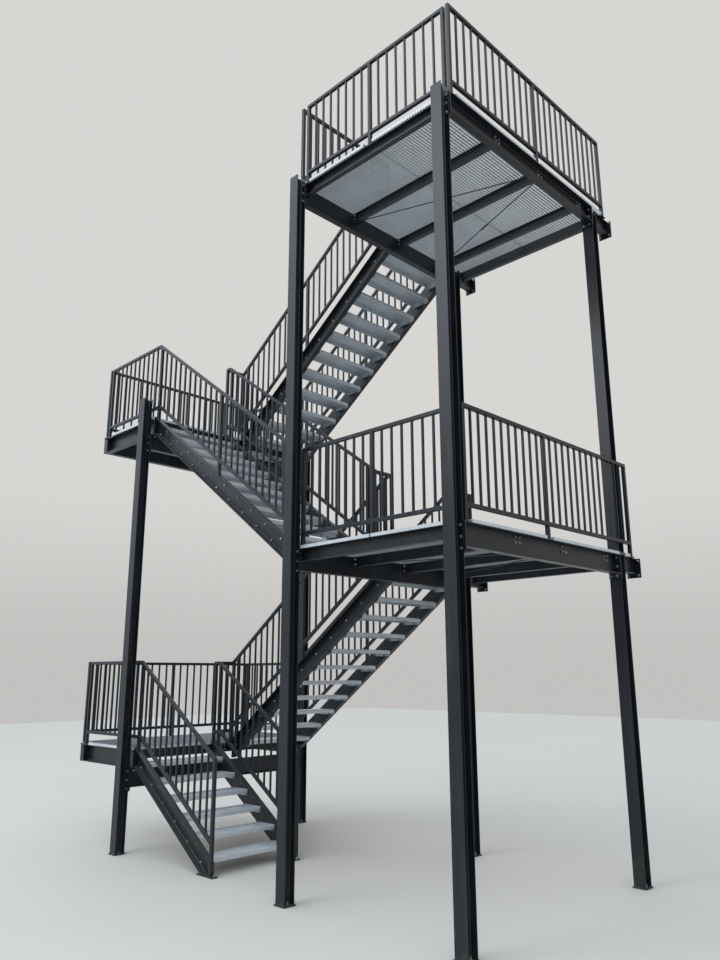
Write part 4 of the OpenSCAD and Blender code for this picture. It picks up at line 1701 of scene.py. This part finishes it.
@dataclass
class BoltPlan:
    """Where the stair's bolts sit, worked out from its sizes. Rows are drops below the top of a
    beam, and halves are half the distance between two bolts."""
    bolts: Fasteners
    plate_rows: tuple[float, ...] = (0.030, 0.122, 0.214)
    plate_half: float = 0.035
    joist_rows: Span = (0.025, 0.075)
    joist_half: float = 0.027
    edge_rows: Span = (0.035, 0.085)
    seat_in: float = 0.035
    seat_along: Span = (0.030, 0.056)
    tread_bolts: tuple[Span, Span] = ((0.022, 0.057), (0.172, 0.057))
    header_rows: Span = (0.055, 0.105)
    beam_rows: Span = (0.065, 0.150)
    end_side: float = 0.034
    shoe_half: float = 0.034
    anchor_half: float = 0.035
    string_foot: float = -3.167
    wall_half: Span = (0.055, 0.075)
    wall_plate_mid: float = 0.100
    wall_gap: float = 0.321

    def through(self, place: Point, way: Point, grip: float, head: Bolt = Bolt.FRAME,
                nut: Bolt = Bolt.FRAME_NUT) -> None:
        """A bolt with its head on one side of the steel and its nut on the other.

        Args:
            place: Where the head's washer sits.
            way: Direction of the head.
            grip: Thickness of the steel between head and nut.
            head: Kind of the head.
            nut: Kind of the nut.
        """
        back = tuple(p - w * grip for p, w in zip(place, way))
        self.bolts.add(head, place, way)
        self.bolts.add(nut, back, tuple(-w for w in way))

    def beam_plates(self, x: float, tops: Iterable[float]) -> None:
        """Bolts between the end plates of a main beam and its two columns.

        Args:
            x: Middle of the columns.
            tops: Tops of the beams.
        """
        s = SIZES
        grip, face = s.col_flange + s.plate_t, s.col_h / 2 - s.col_flange
        for top in tops:
            for drop in self.plate_rows:
                for side in (-self.plate_half, self.plate_half):
                    self.through((x + side, face, top - drop), FORWARD, grip)
                    self.through((x + side, s.row - face, top - drop), BACKWARD, grip)

    def web_bolts(self, x: float, out: float, ys: Iterable[float], top: float,
                  rows: Iterable[float], grip: float) -> None:
        """Bolts through the web of a beam along Y.

        Args:
            x: Open face of the web.
            out: 1 if that face looks towards +X, else -1.
            ys: Places along the beam.
            top: Top of the beam.
            rows: Drops below the top.
            grip: Thickness of web and plate together.
        """
        for y in ys:
            for drop in rows:
                self.through((x, y, top - drop), (out, 0.0, 0.0), grip)

    def frames(self) -> None:
        """All bolts of the platform frames."""
        s = SIZES
        doors = [level - s.grate_t for level in s.doors]
        landings = [level - s.grate_t for level in s.landings]
        for x in (0.0, s.x_b):
            self.beam_plates(x, doors)
        self.beam_plates(s.x_a, [top - s.main_h for top in landings])
        grip = s.main_web + s.plate_t
        pair = (-self.joist_half, self.joist_half)
        for top in doors:
            for x, out in ((s.main_web, 1.0), (s.x_b - s.main_web, -1.0)):
                self.web_bolts(x, out, [y + side for y in s.joists for side in pair], top,
                               self.joist_rows, grip)
                self.web_bolts(x, out, [s.front_tip + s.edge_b / 2], top, self.edge_rows, s.main_web)
        middle = [s.row / 2 + side for side in pair]
        for top in landings:
            self.web_bolts(s.header_x + s.header_web / 2, 1.0, middle, top, self.joist_rows,
                           s.header_web + s.plate_t)
            self.web_bolts(s.land_web_l - s.main_web, -1.0, middle, top, self.joist_rows, grip)
            seat = top - s.main_h + s.main_flange
            for y in (s.front_tip + self.seat_in, s.back_tip - self.seat_in):
                for along in self.seat_along:
                    self.through((s.x_a + along, y, seat), UP, 2 * s.main_flange)

    def flights(self) -> None:
        """Bolts of the treads and of the stringers' end plates. The outer end plates of the front
        flights stand against the closing plates of the headers, where no bolt shows."""
        s = SIZES
        for flight in FLIGHTS:
            y0, y1 = flight.webs
            webs = ((y0 - s.string_web, -1.0), (y1 + s.string_web, 1.0))
            for x, z in flight.nosings:
                for behind, drop in self.tread_bolts:
                    for y, way in webs:
                        self.through((x + flight.way * behind, y, z - drop), (0.0, way, 0.0),
                                     s.string_web + s.tread_t, Bolt.TREAD, Bolt.TREAD_NUT)
            ends = [(flight.x_top, flight.top, -flight.way)]
            if flight.bottom > 0.0:
                ends.append((flight.x_top - flight.way * s.run, flight.bottom, flight.way))
            for x, z, way in ends:
                at_header = math.isclose(x, s.land_r)
                hidden = at_header and flight.lane is Lane.FRONT
                for y, side in webs[1:] if hidden else webs:
                    for drop in self.header_rows if at_header else self.beam_rows:
                        place = (x + way * s.plate_t, y + side * self.end_side, z - drop)
                        self.bolts.add(Bolt.FRAME, place, (float(way), 0.0, 0.0))

    def shoes(self) -> None:
        """The two bolts of each post's foot plate."""
        s = SIZES
        floors = [(level, s.door_shoes(post)) for level, post in zip(s.doors, s.side_posts)]
        floors += [(level, s.landing_shoes()) for level in s.landings]
        for level, shoes in floors:
            z = level - s.grate_t + s.shoe_t
            for shoe in shoes:
                for side in (-self.shoe_half, self.shoe_half):
                    dx, dy = (side, 0.0) if shoe.along_x else (0.0, side)
                    self.bolts.add(Bolt.SHOE, (shoe.x + dx, shoe.y + dy, z), UP)

    def anchors(self) -> None:
        """Anchor bolts of the feet and of the wall plates."""
        s = SIZES
        halves = (-self.anchor_half, self.anchor_half)
        for x in (0.0, s.x_b, s.x_a):
            for y in (0.0, s.row):
                for side in halves:
                    self.bolts.add(Bolt.ANCHOR, (x + side, y, s.foot_t), UP)
        for y, side in zip(s.lane_front, halves):
            self.bolts.add(Bolt.ANCHOR, (self.string_foot, y + side, s.foot_t), UP)
        wall = s.row + s.col_h / 2 + self.wall_gap - s.plate_t
        across, up = self.wall_half
        for level in s.doors:
            for x in (0.0, s.x_b):
                for dx in (-across, across):
                    for dz in (-up, up):
                        z = level - s.grate_t - self.wall_plate_mid + dz
                        self.bolts.add(Bolt.ANCHOR, (x + dx, wall, z), FORWARD)

    def build(self) -> None:
        """Note all bolts and build them."""
        self.frames()
        self.flights()
        self.shoes()
        self.anchors()
        self.bolts.build()


# Welds and bracing

@dataclass
class WeldBeads:
    """Fillet welds that follow a path: round the column feet and round the posts."""
    bead: float = 0.0042
    step: float = 0.0060
    uneven: Span = (0.75, 1.15)
    sides: int = 6
    seed: int = 5
    column_web: float = 0.0025
    post_in: float = 0.070
    post_mid: float = 1.422
    post_lift: float = 0.005
    paths: list[list[Point]] = field(default_factory=list)

    def column_feet(self) -> None:
        """Welds between each column and its foot plate, round the whole section."""
        s = SIZES
        web, b, h = self.column_web, s.col_b / 2, s.col_h / 2
        f = h - s.col_flange
        outline = [(-b, -h), (b, -h), (b, -f), (web, -f), (web, f), (b, f), (b, h), (-b, h),
                   (-b, f), (-web, f), (-web, -f), (-b, -f)]
        self.paths += [[(x + dx, y + dy, s.foot_t) for dx, dy in outline]
                       for x in (0.0, s.x_b, s.x_a) for y in (0.0, s.row)]

    def post_feet(self) -> None:
        """Welds round the posts that stand on the sloping stringer flanges."""
        s = SIZES
        half = s.post_s / 2
        corners = [(-half, -half), (half, -half), (half, half), (-half, half)]
        lines = s.rail_lines
        for flight in FLIGHTS:
            slope = flight.rise / s.going
            marks = [-self.post_in, -self.post_mid, self.post_in - s.run]
            outer_first = lines[:2] if flight.lane is Lane.FRONT else lines[:1:-1]
            for t in marks[:1] if flight.number == 1 else marks:
                for y in outer_first:
                    self.paths.append([(flight.x_top + flight.way * (t + dt), y + dy,
                                        flight.top + (t + dt) * slope + self.post_lift)
                                       for dt, dy in corners])

    def recipe(self) -> Recipe:
        """The tree that sweeps an uneven bead along edges.

        Returns:
            The recipe.
        """
        r = Recipe("beads on paths")
        bead, step, seed = r.size("Bead"), r.size("Step"), r.size("Seed", "Int")
        path = r.out("GeometryNodeMeshToCurve", {"Mesh": r.entry.outputs[0]})
        path = r.out("GeometryNodeResampleCurve", {"Curve": path, "Length": step}, mode="LENGTH")
        low, high = self.uneven
        width = r.out("FunctionNodeRandomValue", {"Min": low, "Max": high, "Seed": seed},
                      data_type="FLOAT")
        path = r.out("GeometryNodeSetCurveRadius", {"Curve": path, "Radius": width})
        ring = r.out("GeometryNodeCurvePrimitiveCircle", {"Resolution": self.sides, "Radius": bead})
        return r.close(r.out("GeometryNodeCurveToMesh",
                             {"Curve": path, "Profile Curve": ring, "Fill Caps": True}))

    def build(self) -> bpy.types.Object:
        """Build all welds as one piece.

        Returns:
            The piece.
        """
        self.column_feet()
        self.post_feet()
        points: list[Point] = []
        edges: list[tuple[int, int]] = []
        for path in self.paths:
            first, count = len(points), len(path)
            points += path
            edges += [(first + i, first + (i + 1) % count) for i in range(count)]
        obj = linked("weld_beads", plain_mesh("weld paths", points, edges))
        self.recipe().cook(obj, Finish.WELD, Bead=self.bead, Step=self.step, Seed=self.seed)
        return hand_over(obj, Slot.BEAMS)


@dataclass
class Bracing:
    """Two tie rods in a V under each door platform, with turnbuckles, forks and lugs."""
    rod: float = 0.006
    sides: int = 12
    sleeve: float = 0.0105
    sleeve_half: float = 0.070
    sleeve_sides: int = 6
    fork: float = 0.0125
    fork_len: float = 0.042
    past_pin: float = 0.012
    lug: Point = (0.060, 0.008, 0.048)
    corner: float = 0.010
    chamfer: float = 0.25

    def build(self) -> None:
        """Build the upper platform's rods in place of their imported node, and the lower one's."""
        self.pair("bracing_ties", SIZES.high_door, "door_high_bracing")
        self.pair("bracing_ties_low", SIZES.low_door)

    def pair(self, name: str, level: float, *replaced: str) -> bpy.types.Object:
        """Build both rods of one platform with their ends.

        Args:
            name: Name of the piece.
            level: Height of the floor.
            replaced: Names of the nodes that it stands for.

        Returns:
            The piece.
        """
        s = SIZES
        z = level - s.grate_t - 2 * s.joist_h / 3
        shape = Shape()
        first, middle, last = s.joists
        for sign, y_from in ((-1, first + s.joist_b), (1, last - s.joist_b)):
            y_to = middle + sign * s.joist_b
            self.tie(shape, Vector((s.x_b + self.lug[0], y_from, z)), Vector((-self.lug[0], y_to, z)))
            self.ear(shape, (s.x_b, y_from, z), 1)
            self.ear(shape, (0.0, y_to, z), -1)
        shape.outward()
        return hand_over(shape.finished(name, Finish.COAT), Slot.BEAMS, *replaced)

    def tie(self, shape: Shape, start: Vector, end: Vector) -> None:
        """One rod with a fork at each end and a turnbuckle in its middle.

        Args:
            shape: Shape that takes the rod.
            start: Middle of the first pin.
            end: Middle of the second pin.
        """
        way = (end - start).normalized()
        middle = (start + end) / 2
        half, past, fork = way * self.sleeve_half, way * self.past_pin, way * self.fork_len
        self.tube(shape, start, end, self.rod, self.sides)
        self.tube(shape, middle - half, middle + half, self.sleeve, self.sleeve_sides)
        self.tube(shape, start - past, start + fork, self.fork, self.sides)
        # This fork lies past its pin, over the lug. It should lie on the rod like the first one.
        self.tube(shape, end + past, end + 2 * past + fork, self.fork, self.sides)

    def tube(self, shape: Shape, start: Vector, end: Vector, radius: float, sides: int) -> None:
        """A closed round or hexagon bar between two points with a small chamfer at each end.

        Args:
            shape: Shape that takes the bar.
            start: First end.
            end: Second end.
            radius: Radius of the bar.
            sides: Number of its sides.
        """
        turn = (end - start).to_track_quat("Z", "Y").to_matrix()
        length = (end - start).length
        cut = radius * self.chamfer
        angles = [TURN * i / sides for i in range(sides)]
        shape.loft([start + turn @ Vector((size * math.cos(a), size * math.sin(a), along))
                    for a in angles]
                   for along, size in ((0.0, radius - cut), (cut, radius), (length - cut, radius),
                                       (length, radius - cut)))

    def ear(self, shape: Shape, root: Point, sign: int) -> None:
        """A lug with rounded free corners, standing out from a beam web.

        Args:
            shape: Shape that takes the lug.
            root: Middle of its welded edge.
            sign: 1 if it stands out towards +X, else -1.
        """
        length, thick, height = self.lug
        reach, c, half = length + self.past_pin, self.corner, height / 2
        outline = [(0.0, -half), (reach - c, -half), (reach, -half + c), (reach, half - c),
                   (reach - c, half), (0.0, half)]
        x, y, z = root
        shape.prism([(x + sign * dx, z + dz) for dx, dz in outline], y - thick / 2, y + thick / 2)


# Studio

@dataclass
class SoftBox:
    """A square soft lamp, high in front of the stair."""
    place: Point = (-5.0, -14.0, 13.0)
    aim: Point = (-2.5, 1.0, 3.5)
    size: float = 9.0
    power: float = 1300.0
    colour: Colour = (0.97, 0.985, 1.0)

    def build(self) -> None:
        """Hang the lamp."""
        data = bpy.data.lights.new("key", "AREA")
        data.size = self.size
        data.energy = self.power
        data.color = self.colour
        obj = linked("key", data)
        obj.location = self.place
        way = Vector(self.aim) - Vector(self.place)
        obj.rotation_euler = way.to_track_quat("-Z", "Y").to_euler()


@dataclass
class Sky:
    """Soft light from all round: bright overhead, pale behind the stair and dim low down in
    front, with the same plain pale backdrop from every side. Spans are heights or directions
    between which one light gives way to the next."""
    tint: Colour = (0.79, 0.90, 1.0)
    haze: Colour = (1.0, 0.99, 0.965)
    zenith: float = 2.1
    backdrop: float = 0.68
    horizon: float = 0.54
    front: float = 0.16
    side: float = 0.9
    lift: float = 0.16
    side_span: Span = (0.50, 0.90)
    lift_span: Span = (0.55, 0.95)
    front_span: Span = (0.12, 0.60)
    plain_span: Span = (0.0, 0.25)
    back_span: Span = (0.74, 0.98)
    haze_span: Span = (0.70, 0.95)
    depth_span: Span = (-0.15, 0.30)

    def build(self) -> None:
        """Build the sky's nodes."""
        world = bpy.data.worlds.new("studio")
        g = Graph(world, "Generated")
        height, left = g.part("Z"), 0.0 - g.part("X")
        front = left.ramp(*self.side_span) * (self.side - self.front) + self.front
        bright = (height + left.ramp(*self.lift_span) * self.lift).ramp(*self.front_span)
        front = front.toward(self.zenith, bright)
        plain = height.ramp(*self.plain_span) * (self.backdrop - self.horizon) + self.horizon
        back = plain.toward(self.zenith, height.ramp(*self.back_span))
        behind = g.part("Y").ramp(*self.depth_span)
        strength = front.toward(back, behind)
        colour = g.blend(behind * (1.0 - height.ramp(*self.haze_span)), self.tint, self.haze)
        seen = Value(g, g.node("ShaderNodeLightPath").outputs["Is Camera Ray"])
        light = g.node("ShaderNodeBackground", {"Color": g.blend(seen, colour, self.haze),
                                                "Strength": strength.toward(plain, seen)})
        g.node("ShaderNodeOutputWorld", {"Surface": light.outputs[0]})
        bpy.context.scene.world = world


@dataclass
class Studio:
    """Pale floor, soft light and the camera at the photograph's viewing angle."""
    eye: Point = (3.766, -4.860, 1.938)
    pitch: float = 13.81
    roll: float = 0.16
    yaw: float = -44.587
    lens: float = 29.58
    sensor: float = 36.0
    sight: float = 300.0
    floor: float = 60.0

    def camera(self) -> bpy.types.Object:
        """Place the camera.

        Returns:
            The camera object.
        """
        data = bpy.data.cameras.new("camera")
        data.lens = self.lens
        data.sensor_fit = "VERTICAL"
        data.sensor_height = self.sensor
        data.clip_end = self.sight
        data.dof.use_dof = False
        yaw, pitch, roll = (math.radians(a) for a in (self.yaw, self.pitch, self.roll))
        ahead = Vector((math.sin(yaw) * math.cos(pitch), math.cos(yaw) * math.cos(pitch),
                        math.sin(pitch)))
        right = Vector((math.cos(yaw), -math.sin(yaw), 0.0))
        down = ahead.cross(right)
        across = math.cos(roll) * right + math.sin(roll) * down
        below = math.cos(roll) * down - math.sin(roll) * right
        obj = linked("camera", data)
        axes = Matrix((across, -below, -ahead)).transposed().to_4x4()
        obj.matrix_world = Matrix.Translation(self.eye) @ axes
        bpy.context.scene.camera = obj
        return obj

    def build(self) -> None:
        """Build floor, sky, lamp and camera."""
        half = self.floor / 2
        corners = [(-half, -half, 0.0), (half, -half, 0.0), (half, half, 0.0), (-half, half, 0.0)]
        mesh = plain_mesh("floor", corners, faces=[(0, 1, 2, 3)])
        mesh.materials.append(Finish.FLOOR.material())
        linked("floor", mesh)
        Sky().build()
        SoftBox().build()
        self.camera()


def main() -> None:
    """Build the stair's pieces in order."""
    logging.basicConfig(level=logging.INFO, format="%(name)s: %(message)s")
    bpy.context.scene.view_settings.view_transform = "Standard"
    Studio().build()
    steel = Steelwork()
    steel.dress()
    LandingFrames(steel).build()
    Floors().build()
    Stairway().build()
    Bracing().build()
    BoltPlan(Fasteners()).build()
    WeldBeads().build()


if __name__ == "__main__":
    main()
